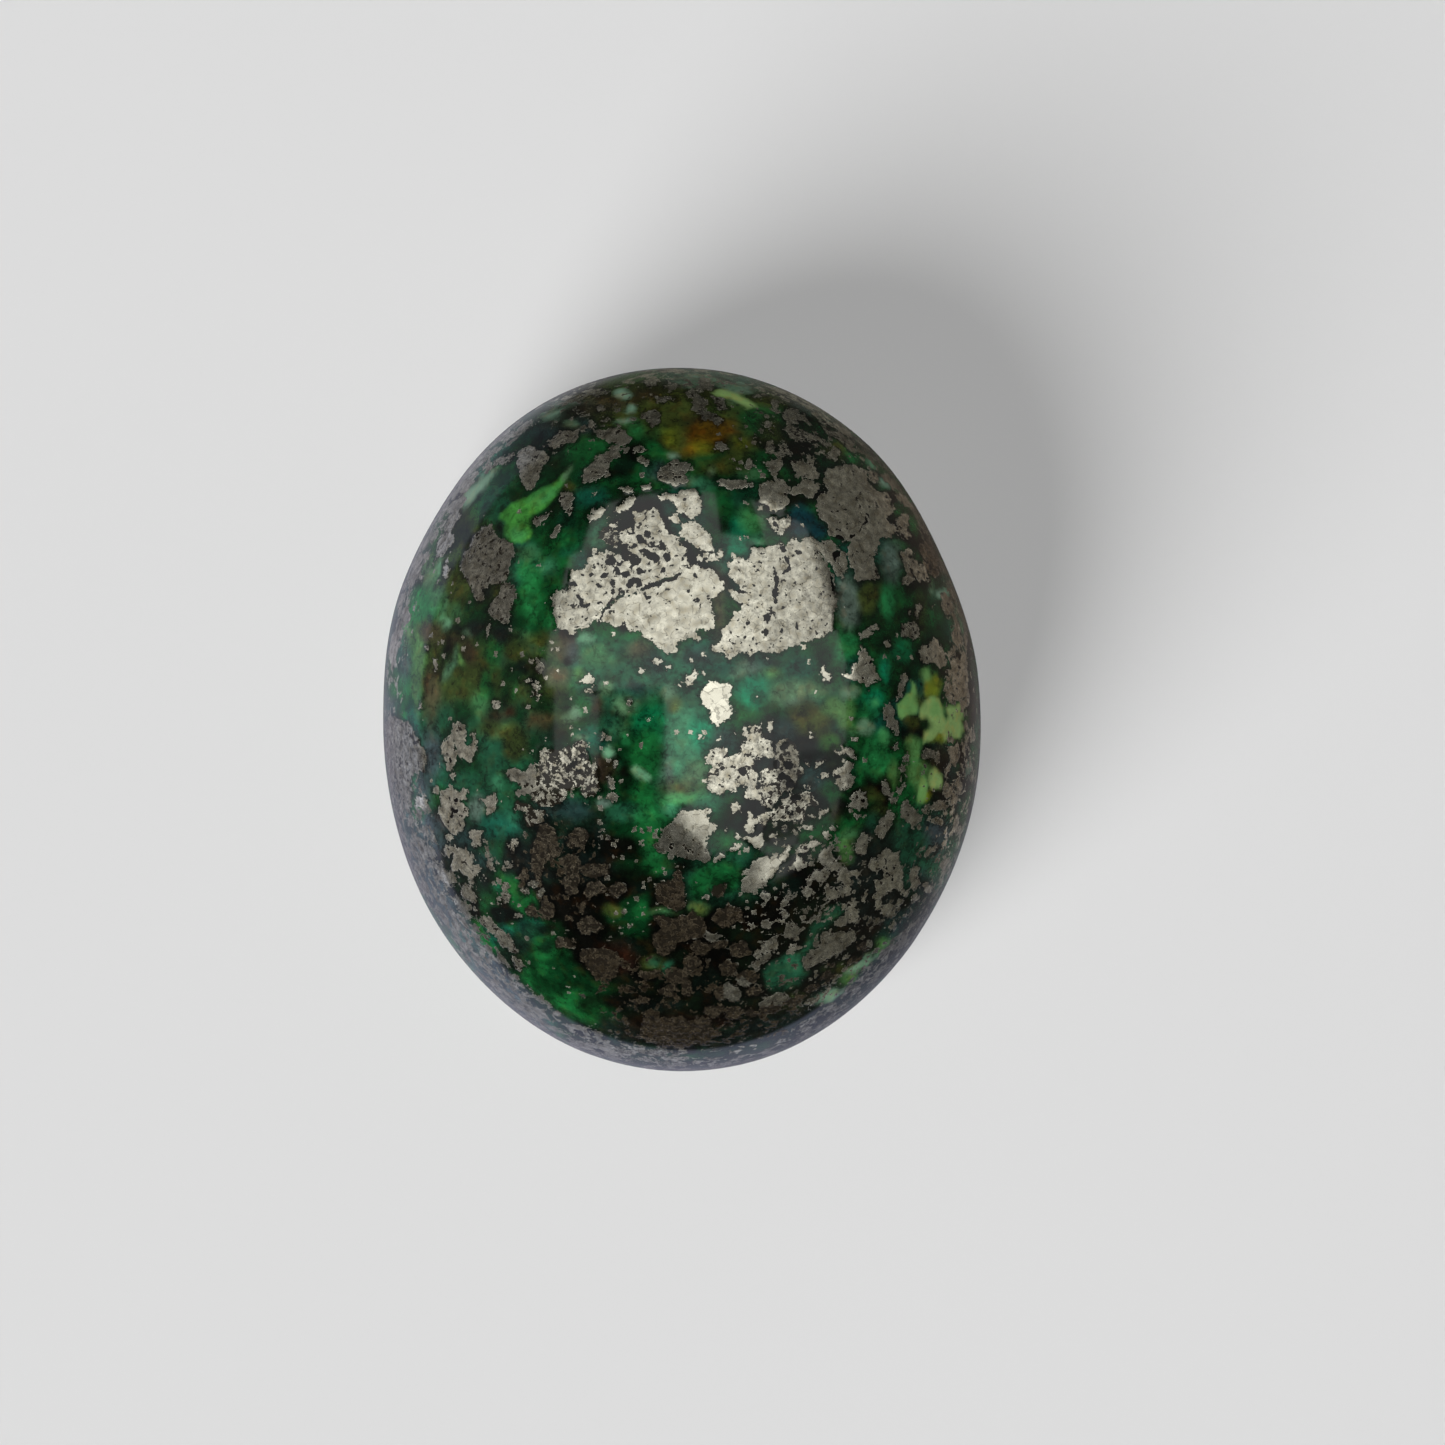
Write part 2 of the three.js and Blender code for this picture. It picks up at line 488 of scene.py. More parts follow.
    # tone 0.28: painted shade, the metal darker towards the bottom
    "the foot of the dome": """
    - 0.72 0.28: 600,956,20,8; 604,970,14,6; 648,974,10,4; 676,976,12,7; 692,962,10,9; 702,948,11,7;
    718,944,9,5; 740,950,11,8; 727,968,9,8; 722,992,9,7; 748,976,11,7; 752,992,9,5; 772,1008,12,6;
    792,1000,14,4,15; 752,1012,8,5; 734,1012,9,6; 668,990,9,5; 686,988,6,8; 640,1000,10,3; 812,988,7,4,20;
    826,976,9,4,20; 833,966,4,3; 856,960,9,3,30; 862,946,7,5; 714,1010,10,6; 700,1024,14,5; 660,936,8,6
    - 0.34 1.00: 770,947,9,3,25; 791,949,7,3.5,20; 758,955,3.5,5; 784,912,3,4; 779,921,5,2; 766,925,5,4;
    753,925,3,3; 809,891,2.5,5; 815,893,2,1.5; 832,893,5,8,20; 864,897,2.5,6; 878,905,3,6; 889,910,8,6;
    900,904,5,3,30; 853,903,4,2; 845,907,3,4; 852,915,6,7; 846,880,4,8; 854,873,5,4; 915,880,5,10,10;
    927,888,3,6,20; 906,893,6,3,40; 916,870,4,4; 899,886,3,10,10; 880,893,8,4,30; 915,898,5,3,45;
    893,925,5,3,40
    """,
    "the right rim": """
    - 0.42 1.00: 908,579,6,5; 914,578,2,4; 923,572,3,9,20; 914,563,2.5,2.5; 909,552,3,3; 917,608,2,6;
    909,612,1.5,2; 914,629,3,3; 873,628,4,3; 887,643,3,3; 957,636,3.5,13,10; 953,650,2.5,5; 950,657,3,4;
    953,694,4.5,10; 960,668,6,13; 966,690,3,12; 895,746,4,3; 906,758,3,4; 903,769,2,6; 929,755,6,6;
    938,757,3,6; 946,772,2.5,7; 955,752,2.5,7; 967,726,2,5; 971,736,3,7; 958,786,4,8; 948,790,5,8;
    940,805,8,5; 953,800,4,8; 926,811,3,3; 931,817,2,3; 940,822,5,3.5; 957,829,3,6,15; 949,738,3,6;
    964,750,2.5,8; 971,775,2,9; 955,822,3,7; 962,706,4,8
    """,
    "the top rim": """
    - 0.42 0.95: 672,386,6,4; 690,383,6,2.5; 705,388,9,3.5; 699,404,7,9; 692,394,5,5; 792,412,7,4;
    801,417,5,2.5; 843,429,9,4,-32; 850,446,8,3,-38; 600,409,4,2.5; 606,420,4,2.5; 615,451,5,5;
    625,450,2.5,3.5; 637,450,4.5,3.5; 642,460,5,4; 593,426,2.5,5; 661,399,5,3; 760,396,5,2; 776,404,3,4;
    873,476,6,4,-45; 886,497,6,5,-50; 905,518,4,6,-30; 650,384,6,3; 668,398,5,3
    """,
    "the streaked piece along the left rim": """
    - 0.50 0.62: 384,722 397,717 404,721 410,722 414,733 421,742 426,752 426,762 424,771 419,774 414,769
    410,776 412,790 408,812 402,800 396,790 388,770 384,750
    """,
    "dull grains right of the middle": """
    - 0.60 0.48: 784,828,3,3; 786,765,14,25
    """,
    "the two torn pieces at the upper left": """
    - 0.46 0.62: 475,535 483,527 491,526 497,534 506,541 512,543 514,557 510,563 508,574 500,584 497,582
    489,584 484,590 483,600 478,602 474,596 473,584 465,578 461,566 465,559 461,555 467,549 473,543;
    506,580 514,588 516,596 512,602 510,614 509,624 502,622 497,622 491,618 488,612 491,604 497,598
    500,590
    """,
    # tone 1.40: a painted highlight on pieces that catch the light
    "clean pieces that catch the light": """
    - 0.20 1.40: 841,671 846,673 851,673 852,666 859,660 860,654 862,645 866,654 873,660 874,666 879,674
    879,680 870,683 867,689 866,683 859,684 858,680 849,679 844,677; 693,668 698,674 697,679 693,686
    686,686 684,677 690,675
    """,
    "torn pieces left of the middle": """
    - 0.66 0.62: 534,669 538,657 544,666 541,676 536,674
    - 0.70 1.25: 549,790,20,16
    """,
    "the broken piece right of the middle": """
    - 0.58 1.04: 761,771 767,767 775,768 784,778 782,786 777,798 773,808 763,807 761,800 755,795 755,790
    761,785; 803,797,9,5; 766,790,6,4
    """,
    "dark pieces left of the crown and near the right rim": """
    - 0.70 0.50: 600,531 606,528 612,527 618,532 618,543 610,546 600,540; 622,570,9,5
    - 0.60 0.40: 919,545 930,540 938,556 941,570 935,578 926,572 921,560; 912,572,5,7
    """,
    "the grey piece below the middle": """
    - 0.30 0.58: 653,847 663,835 667,826 673,821 681,825 690,832 698,841 706,845 708,860 703,864 696,859
    691,859 680,857 672,855 665,850 658,850
    """,
    "the left half of the shield right of the crown": """
    - 0.32 0.97: 726,564 738,556 749,560 750,548 760,548 777,546 778,544 778,650 771,653 760,651 750,656
    740,651 735,660 728,658 723,652 714,652 714,644 723,642 722,630 730,619 733,612 740,609 738,604
    732,597 730,591 738,589 736,581 728,575 729,569
    """,
    # tone 0.75 against 0.97: painted shade, the right half of the same crust kept darker
    "its darker right half": """
    - 0.32 0.75: 754,548 760,548 777,546 780,541 787,544 793,537 801,541 811,538 817,546 822,557 827,569
    834,574 835,589 837,604 833,616 834,630 825,636 811,640 803,646 787,647 771,653 760,651 754,654
    """,
    "broken and single pieces": """
    - 0.60 1.04: 755,816 765,813 772,812 782,807 782,800 791,795 801,793 812,791 812,798 818,805 808,808
    804,814 801,822 792,819 782,822 777,822 772,819 767,821 765,829 760,824
    - 0.10 1.06: 750,873,6,4
    - 0.50 0.95: 598,392,9,4
    """,
}

# Cracks through the crusts. Each row gives their half-width in pixels and their paths.
CRACKS = """
    - 1.8: 644,590 655,584 676,578; 786,557 789,567 784,572; 774,591 776,604; 578,595 583,604 587,606
    - 1.2: 868,515 860,530 848,540; 736,588 748,593; 738,604 748,607; 770,608 768,622; 830,574 834,590;
    774,568 777,590; 449,799 453,818; 456,800 466,805; 885,860 889,876; 893,866 893,880; 596,628 612,600
    640,594
"""

# Holes through the crusts.
HOLES = """
    684,517,4,3; 572,764,4,3; 579,770,3,2; 764,510,5,6; 631,568,3,2; 625,560,3,2; 620,563,3,2; 628,574,3,2;
    635,565,3,2; 615,560,3,2; 650,571,3,2; 622,528,3,3; 613,522,3,2; 668,516,4,3; 677,524,3,2; 600,604,3,2;
    588,604,3,2; 575,762,3,2.5; 583,756,3,2; 567,781,3,2; 642,541,5,3; 634,547,3,3; 649,534,3,3;
    659,584,4,3; 668,590,3,2; 574,585,4,3; 566,591,3,2; 690,850,4,2; 672,846,3,3; 618,571,5,3.5;
    630,583,4,3; 605,575,4,3; 624,592,3,3; 640,585,4,2.5; 612,583,3,3; 598,585,3,2.5; 690,560,3,3;
    680,576,3,2.5; 695,576,3,2.5; 789,764,5,5; 785,748,4,4; 789,783,4,4; 574,762,4,4; 566,770,4,3;
    555,871,6,5; 622,548,7,5; 634,562,6,4; 644,552,6,4; 655,560,5,4; 612,560,4,5; 626,574,6,3.5;
    640,572,4,3; 660,545,4,5; 668,556,3,4; 632,530,4,4; 640,538,5,3; 652,586,4,2.5; 672,528,4,6;
    650,596,3,2; 687,568,4,2.5; 664,570,3,3; 783,775,6,4; 776,764,4,5; 790,812,5,4; 629,555,6,5;
    650,556,6,5; 616,570,3,4.5; 591,576,3,2.5; 635,580,5,2; 613,592,2.5,2.5; 694,600,3,2; 688,590,2,2.5;
    676,621,2,2; 652,626,1.6,1.6; 653,543,12,3,-12; 606,561,3,3; 668,560,3,4; 783,550,2.5,3;
    777,579,3.2,3.2; 765,617,4,4; 767,634,2.5,5; 786,595,2.5,3; 821,594,1.8,3; 801,551,2.2,2; 754,566,3,1.8;
    760,595,1.6,1.6; 749,644,2.2,2; 748,623,2,2; 758,644,2,1.6; 753,637,2,1.6; 781,632,1.6,4; 797,628,1.6,4;
    743,771,4,4; 762,764,8,4; 796,797,4,2.5; 839,539,4.5,4.5; 838,554,4,4; 836,560,1.6,4; 788,477,6,6;
    869,664,1.8,2; 868,677,1.8,2; 839,777,3,2.5; 843,784,1.5,1.5; 861,801,2.5,2.5; 471,740,2,6; 450,760,2,4;
    455,811,4,2,-50
"""

# Where small broken pyrite lies close. Each row gives the share that it covers, how soft its edge is
# in pixels, its tone and where it lies. The low tones at the bottom are painted shade, and the tone of
# 1.90 at the right rim is a painted highlight.
RUBBLE = """
    - 0.42 14 0.45: 800,990 900,920 940,850 900,860 850,930 780,960 700,960 640,1000 700,1030
    - 0.40 12 0.24: 600,940 700,940 740,1000 640,1040 580,1000
    - 0.40 10 0.70: 820,880,60,40,30
    - 0.36 10 0.26: 560,870,46,60
    - 0.40 8 0.85: 790,440,60,30,-40
    - 0.36 8 0.80: 600,420,60,24,20
    - 0.38 8 0.90: 955,690,14,60
    - 0.52 8 1.90: 954,818,17,42
    - 0.12 6 0.35: 915,565,14,30,-20
    - 0.28 8 0.95: 625,530,40,26
    - 0.26 8 0.90: 540,660,22,30
    - 0.30 8 0.95: 460,890,30,60,-35
    - 0.24 8 0.90: 605,760,16,30
    - 0.34 8 0.50: 790,835,34,30
    - 0.50 8 0.26: 590,1004 700,1012 780,1004 840,966 850,990 790,1034 700,1056 620,1046
    - 0.76 6 0.74: 394,640 397,600 408,560 424,520 448,478 480,440 520,410 535,425 500,455 470,490 452,525
    436,545 420,580 410,620
    - 0.66 6 0.56: 376,700 380,790 396,850 430,915 470,970 520,1024 600,1066 680,1076 690,1052 620,1040
    560,1012 512,966 480,920 446,860 424,790 412,730
    - 0.46 8 0.80: 800,1000 860,960 905,915 940,860 950,880 915,935 865,985 805,1022
    - 0.50 6 0.60: 850,440 900,500 940,570 962,640 985,640 960,540 910,460 860,410
    - 0.62 6 0.85: 962,600 980,680 980,760 954,840 932,880 960,900 1000,760 990,640
    - 0.62 6 0.50: 932,880 900,930 830,1000 760,1052 690,1058 620,1046 600,1066 680,1080 780,1075 880,1005
    960,900
"""

# Where loose grains of pyrite are strewn. Each row gives the share of the places that has one, how soft
# the edge is in pixels and where they lie.
PEPPER = """
    - 0.55 14: 820,925,90,80
    - 0.50 14: 728,965,40,26
    - 0.45 12: 490,880,40,55,-40
    - 0.40 12: 800,460,70,55,-40
    - 0.40 10: 930,820,30,80,25
    - 0.40 8: 592,765,34,45
    - 0.35 8: 632,540,50,36
    - 0.40 8: 796,845,36,26
    - 0.30 10: 700,560,34,24
    - 0.35 10: 610,880,80,60
    - 0.35 10: 405,800,18,90,12
    - 0.30 8: 540,672,24,36
"""

# Clouds of colour in the turquoise, each laid over the ones before. Each row gives their tint, how soft
# their edge is in pixels, how strong they are and the marks.
CLOUDS = {
    # the first BLACK row makes the whole lower part of the crown darker towards the bottom
    "the wide drifts, laid down first": """
    - BLACK 20 0.97: 580,860 640,850 700,870 760,850 830,850 930,830 920,900 860,980 760,1040 620,1040
    560,960 540,880; 630,515,34,24
    - MOSS 16 0.85: 470,570,40,60; 455,670,40,60; 530,700,50,50
    - OLIVE 16 0.85: 640,405,110,26
    - DEEP 18 0.85: 560,500,60,50; 745,500,50,50; 660,790,70,80; 900,610,50,60; 830,450,60,30,-35
    - SHADE 14 0.9: 455,860,46,60; 560,840,60,46; 790,770,60,60; 560,430,50,24,35; 880,870,50,50
    - MILK 14 0.85: 620,675,60,36; 700,668,110,24; 690,740,40,80
    - PINE 14 0.8: 500,760,60,60; 440,740,24,40; 720,870,50,30
    - DEEP 14 0.8: 480,620,24,24
    - MILK 14 0.8: 930,850,34,44
    """,
    "the left side": """
    - CELADON 4 0.9: 478,488,6,22,-38
    - FOAM 4 0.75: 439,562,3,14,-8; 442,608,2.5,12,-15; 450,664,2.5,10,-20; 446,623,4,5
    - SAGE 4 0.75: 470,632,4,3
    - LICHEN 4 0.75: 406,632,6,16
    - FERN 4 0.75: 416,696,3,16
    - HERB 4 0.75: 459,662,4,4
    - LICHEN 6 0.8: 430,572,8,14
    - HERB 6 0.8: 417,655,6,26
    - CELADON 6 0.8: 555,413,9,3,20
    - FERN 6 0.8: 455,612,7,6
    - JADE 7 0.75: 497,783,6,7; 484,763,4,7; 510,822,5,5; 548,568,7,8
    - GREEN 7 0.75: 424,606,17,19; 404,682,5,20
    - TEAL 8 0.9: 500,826,18,12
    - PINE 8 0.9: 490,752,13,26
    - DEEP 8 0.9: 488,690,9,14; 552,590,8,14; 475,762,8,14
    - PINE 7 0.9: 495,505,14,22; 505,480,10,8; 440,716,16,9; 488,852,9,10
    - DEEP 7 0.9: 475,610,14,16; 460,765,12,8
    - SLATE 7 0.9: 431,755,9,26
    - INK 7 0.9: 522,935,7,20,-40
    - FERN 5 0.85: 478,705,8,12; 530,632,12,4
    - FOREST 5 0.85: 493,652,7,11; 513,692,3,9,-25; 484,685,3,14,-25
    - GREY 5 0.85: 477,808,7,10
    - JADE 5 0.85: 494,733,8,3
    - FOREST 6 0.9: 533,608,10,24
    - DEEP 6 0.9: 447,655,6,14; 462,712,10,12; 538,628,8,12; 520,620,8,10
    - GREEN 7 0.9: 527,572,10,19; 532,606,7,12
    - DEEP 5 0.9: 512,672,14,12; 505,692,6,10; 518,716,7,9; 535,748,9,12
    - INK 5 0.9: 457,628,10,6; 524,666,9,8
    - BLACK 5 0.9: 448,648,5,9
    - OLIVE 7 0.85: 533,640,12,6; 508,733,12,7
    - DEEP 7 0.85: 545,696,14,8
    - MOSS 7 0.85: 466,532,9,14; 452,690,10,8
    - FERN 7 0.85: 440,596,8,20
    - MOSS 6 0.85: 457,584,13,14; 518,649,12,8; 490,728,12,8; 570,488,6,7
    - DEEP 6 0.85: 545,708,16,6
    - BROWN 6 0.85: 431,632,13,9; 540,722,12,9
    - STONE 6 0.85: 432,692,8,22
    - UMBER 6 0.85: 497,716,10,7
    - UMBER 5 0.9: 456,640,10,5; 471,652,9,14; 510,712,6,8; 426,690,2,12
    - MOSS 5 0.9: 515,746,12,14
    - BLACK 5 0.9: 600,770,10,18
    - SHADE 5 0.9: 477,627,10,8; 500,634,8,8; 487,590,9,8; 515,860,14,18
    - SLATE 7 0.85: 424,790,9,16; 403,664,5,16; 431,826,12,13; 442,850,12,10
    - BLACK 7 0.85: 434,866,14,14
    - DUSK 7 0.85: 552,806,20,9; 575,812,14,10; 480,862,16,8; 460,840,16,12
    - INK 7 0.85: 556,734,14,12
    """,
    "the middle": """
    - STONE 7 0.85: 564,648,14,12; 558,675,11,9; 719,606,6,36; 640,650,12,9
    - GREY 7 0.85: 795,702,12,6
    - GREY 6 0.7: 666,768,7,14; 750,668,10,6
    - SLATE 6 0.7: 574,652,7,12
    - SAGE 6 0.7: 668,694,8,9
    - SHADE 4 0.8: 636,686,7,5
    - BLACK 4 0.8: 568,660,5,5
    - OLIVE 7 0.85: 810,718,20,15; 680,787,15,8
    - MOSS 7 0.85: 556,690,11,8
    - DEEP 7 0.85: 612,681,9,4
    - MOSS 6 0.85: 806,708,14,6; 826,736,12,6
    - DEEP 6 0.85: 566,702,10,8; 622,657,7,5
    - FERN 6 0.85: 622,728,9,8
    - HERB 5 0.8: 580,676,6,7; 773,672,8,5; 834,706,8,9
    - OLIVE 5 0.8: 676,706,9,8
    - FOREST 5 0.8: 582,702,9,10
    - LICHEN 5 0.8: 607,692,6,6
    - SAGE 5 0.8: 740,672,8,6
    - JADE 8 0.8: 684,742,17,32
    - FERN 8 0.8: 704,770,7,9; 596,656,15,12
    - LICHEN 8 0.8: 625,706,10,8
    - SAGE 4 0.85: 575,712,6,6; 581,737,4,3
    - LICHEN 4 0.85: 568,716,5,4
    - FOAM 4 0.85: 586,637,6,5; 608,750,6,5
    - JADE 4 0.85: 675,738,7,12
    - EMERALD 4 0.85: 616,763,4,4
    - TEAL 4 0.85: 591,733,5,5
    - OLIVE 4 0.85: 674,710,5,4
    - GREY 4 0.85: 603,803,7,5
    - FERN 4 0.85: 703,788,6,5
    - LICHEN 8 0.85: 800,690,22,9; 778,698,10,6; 696,775,9,7
    - FERN 8 0.85: 850,692,8,6
    - LIME 8 0.85: 830,744,8,6
    - UMBER 5 0.85: 598,706,6,12; 605,764,12,16
    - FOREST 5 0.85: 570,690,4,8
    - DUSK 8 0.85: 700,655,18,9; 725,740,14,10; 768,661,9,4; 783,730,11,12; 815,780,14,14; 656,664,10,10;
    640,690,16,6
    - MILK 8 0.85: 610,728,12,9
    - DEEP 8 0.85: 822,652,9,9
    - INK 8 0.85: 641,511,17,16
    - SLATE 8 0.85: 655,470,9,9
    - SHADE 5 0.9: 699,554,16,8
    - MILK 5 0.9: 692,690,6,12
    - BLACK 5 0.9: 790,780,10,10; 783,836,18,16; 646,512,14,12
    - SEA 7 0.8: 754,692,17,16; 700,734,12,16; 735,545,11,9
    - JADE 7 0.8: 690,752,7,9
    - TEAL 7 0.85: 802,668,13,13; 590,498,15,10; 720,668,18,7
    - FOREST 7 0.85: 726,845,14,9
    - EMERALD 7 0.9: 648,722,17,18
    - FOREST 7 0.9: 646,756,17,28; 645,795,14,14
    - BRIGHT 4 0.75: 684,798,19,6
    - SPRING 4 0.75: 626,738,3,4
    - FOAM 4 0.75: 631,768 636,765 643,770 650,775 651,780 643,780 636,776
    - MILK 6 0.85: 706,804,14,8; 625,814,16,8
    - GREEN 7 0.75: 650,816,16,9; 652,853,8,8
    - FOREST 7 0.75: 647,836,12,14
    - FOREST 6 0.85: 656,866,11,9; 722,876,22,13; 700,888,9,12
    - INK 6 0.85: 640,890,6,10
    - BLACK 6 0.95: 615,847,26,13; 622,772,7,10; 684,866,12,7; 565,902,26,22; 600,905,20,10
    - INK 5 0.9: 590,848,9,9; 795,888,14,8
    - DEEP 5 0.9: 618,830,12,5
    """,
    "the top": """
    - FOREST 8 0.85: 565,541,20,10; 715,498,11,14
    - DEEP 8 0.85: 590,526,12,9
    - SEA 8 0.85: 742,532,8,12
    - JADE 6 0.8: 602,534,10,12; 700,484,13,6
    - LICHEN 6 0.8: 688,480,6,4
    - DUSK 6 0.85: 585,426,9,8; 545,430,13,8
    - DEEP 6 0.85: 612,520,7,10
    - ASH 6 0.85: 560,402,20,4
    - FOREST 6 0.85: 582,446,16,9; 726,510,10,12; 748,420,10,8; 765,470,7,14; 745,428,7,8; 650,452,14,10
    - FERN 6 0.85: 526,553,10,8
    - INK 6 0.9: 625,466,12,13; 815,470,14,10
    - BLACK 6 0.9: 800,448,20,10; 800,500,20,8
    - PINE 6 0.9: 650,468,7,8
    - GREEN 5 0.85: 636,430,8,7; 762,411,9,4; 852,455,10,5,-40
    - SAGE 5 0.85: 738,402,7,3
    - FERN 4 0.85: 750,476,10,4; 626,422,8,3
    - SAGE 4 0.85: 572,424,5,3; 622,393,7,4; 712,470,4,5
    - FOAM 4 0.85: 632,409,4,4
    - GREY 4 0.85: 800,404,12,3,-25
    - PINE 4 0.85: 745,505,9,7
    - FOAM 3 0.8: 872,466,5,2,-50
    - CELADON 3 0.8: 674,455,6,3.5; 626,421,6,1.5; 622,392,6,3; 884,482,6,3,-50
    - MOSS 6 0.85: 770,432,10,12
    - STONE 6 0.85: 592,395,16,6; 610,404,16,5
    - UMBER 6 0.85: 645,394,18,9; 585,410,12,5; 700,420,12,5
    - BRIGHT 8 0.75: 754,521,13,14
    - BLUE 6 0.9: 799,522,13,16; 818,532,10,10
    - AMBER 8 0.95: 705,436,18,13; 722,428,16,9; 690,448,10,8
    - OLIVE 8 0.85: 740,446,13,14; 676,440,12,12; 766,400,18,9; 720,466,18,7; 838,448,9,9,-40; 665,405,16,8
    - YELLOW 6 0.5: 672,436,6,8; 700,448,8,5; 740,446,6,6
    - PALE_LIME 2.5 0.9: 710,393 722,389 738,390 742,397 750,403 756,409 747,411 739,406 728,399 716,398
    - LIME 2.5 0.95: 502,512 512,502 530,497 545,488 558,480 566,468 570,468 566,478 560,490 553,500 543,508
    532,515 527,522 530,530 528,537 520,541 508,541 504,532 505,524 501,520
    - LICHEN 2.5 0.95: 568,472,9,3,60
    - BRIGHT 4 0.55: 545,495,14,5,30; 515,534,8,6
    """,
    "the right side": """
    - GREY 7 0.9: 892,560,10,20; 845,590,8,10
    - ASH 7 0.9: 848,604,12,24
    - MOSS 5 0.85: 872,590,8,6; 873,796,10,7; 920,612,6,20
    - OLIVE 5 0.85: 911,722,7,6
    - UMBER 5 0.85: 836,812,6,12
    - OLIVE 5 0.85: 867,600,8,13
    - GREEN 5 0.9: 876,756,14,22
    - SPRING 5 0.9: 888,602,9,15; 846,646,11,12
    - HERB 5 0.9: 846,716,9,13
    - EMERALD 5 0.9: 935,614,5,8
    - FOREST 6 0.85: 905,596,8,20; 910,791,8,10; 935,612,9,16; 830,790,9,8
    - DEEP 5 0.9: 880,642,8,6; 937,636,6,9; 872,810,12,10; 915,672,8,8; 925,723,5,6
    - EMERALD 6 0.9: 903,650,11,11; 885,672,6,14; 872,698,11,12
    - GREEN 6 0.9: 869,712,8,8
    - SEA 5 0.8: 886,670,4,7; 872,702,5,8
    - SAGE 4 0.85: 866,729,8,8; 850,694,8,6; 933,591,2.5,6,20; 962,632,2,12; 956,628,2,14
    - LEAF 4 0.85: 926,675,5,8
    - FOAM 4 0.85: 943,594,5,5
    - CELADON 4 0.85: 968,764,2,6
    - HERB 5 0.8: 832,708,8,7; 894,775,5,10; 846,848,5,12
    - FERN 5 0.8: 850,834,8,6
    - BRIGHT 4 0.8: 886,737,7,9; 915,752,5,8; 872,703,3,4
    - HERB 4 0.8: 845,712,5,6
    - HERB 4 0.85: 912,748,8,11; 919,774,11,16; 908,770,5,8
    - YELLOW 4 0.85: 933,687,9,11; 940,738,10,6; 926,795,6,6
    - LEAF 4 0.85: 945,722,3,10
    - LEAF 2 0.9: 895,706 902,698 909,694 911,681 915,684 918,696 918,707 915,712 907,718 902,721 897,715;
    922,790,6,14
    - PALE_LIME 2 0.9: 934,778,6,10,15; 921,706 922,700 933,697 942,700 944,710 946,719 950,715 948,707
    960,703 962,712 960,727 959,739 951,738 944,742 942,735 936,730 931,738 922,742 921,736 925,727
    927,719 921,719 918,715; 936,779,4,6,15
    - UMBER 5 0.9: 945,672,8,6; 970,700,6,30
    - DEEP 5 0.9: 940,640,8,16
    - MOSS 5 0.9: 880,812,10,8
    - OLIVE 5 0.9: 920,700,4,6
    - BROWN 5 0.9: 940,765,10,20
    - BLACK 5 0.9: 845,806,9,10; 912,585,8,12; 925,580,5,10; 945,770,6,16
    - PINE 6 0.85: 875,822,9,10; 911,838,14,18; 935,600,5,10; 905,870,8,14
    - DUSK 7 0.85: 922,880,10,16,30; 900,920,14,8,40; 950,775,6,12
    - SLATE 7 0.85: 938,838,11,20; 940,830,12,10
    """,
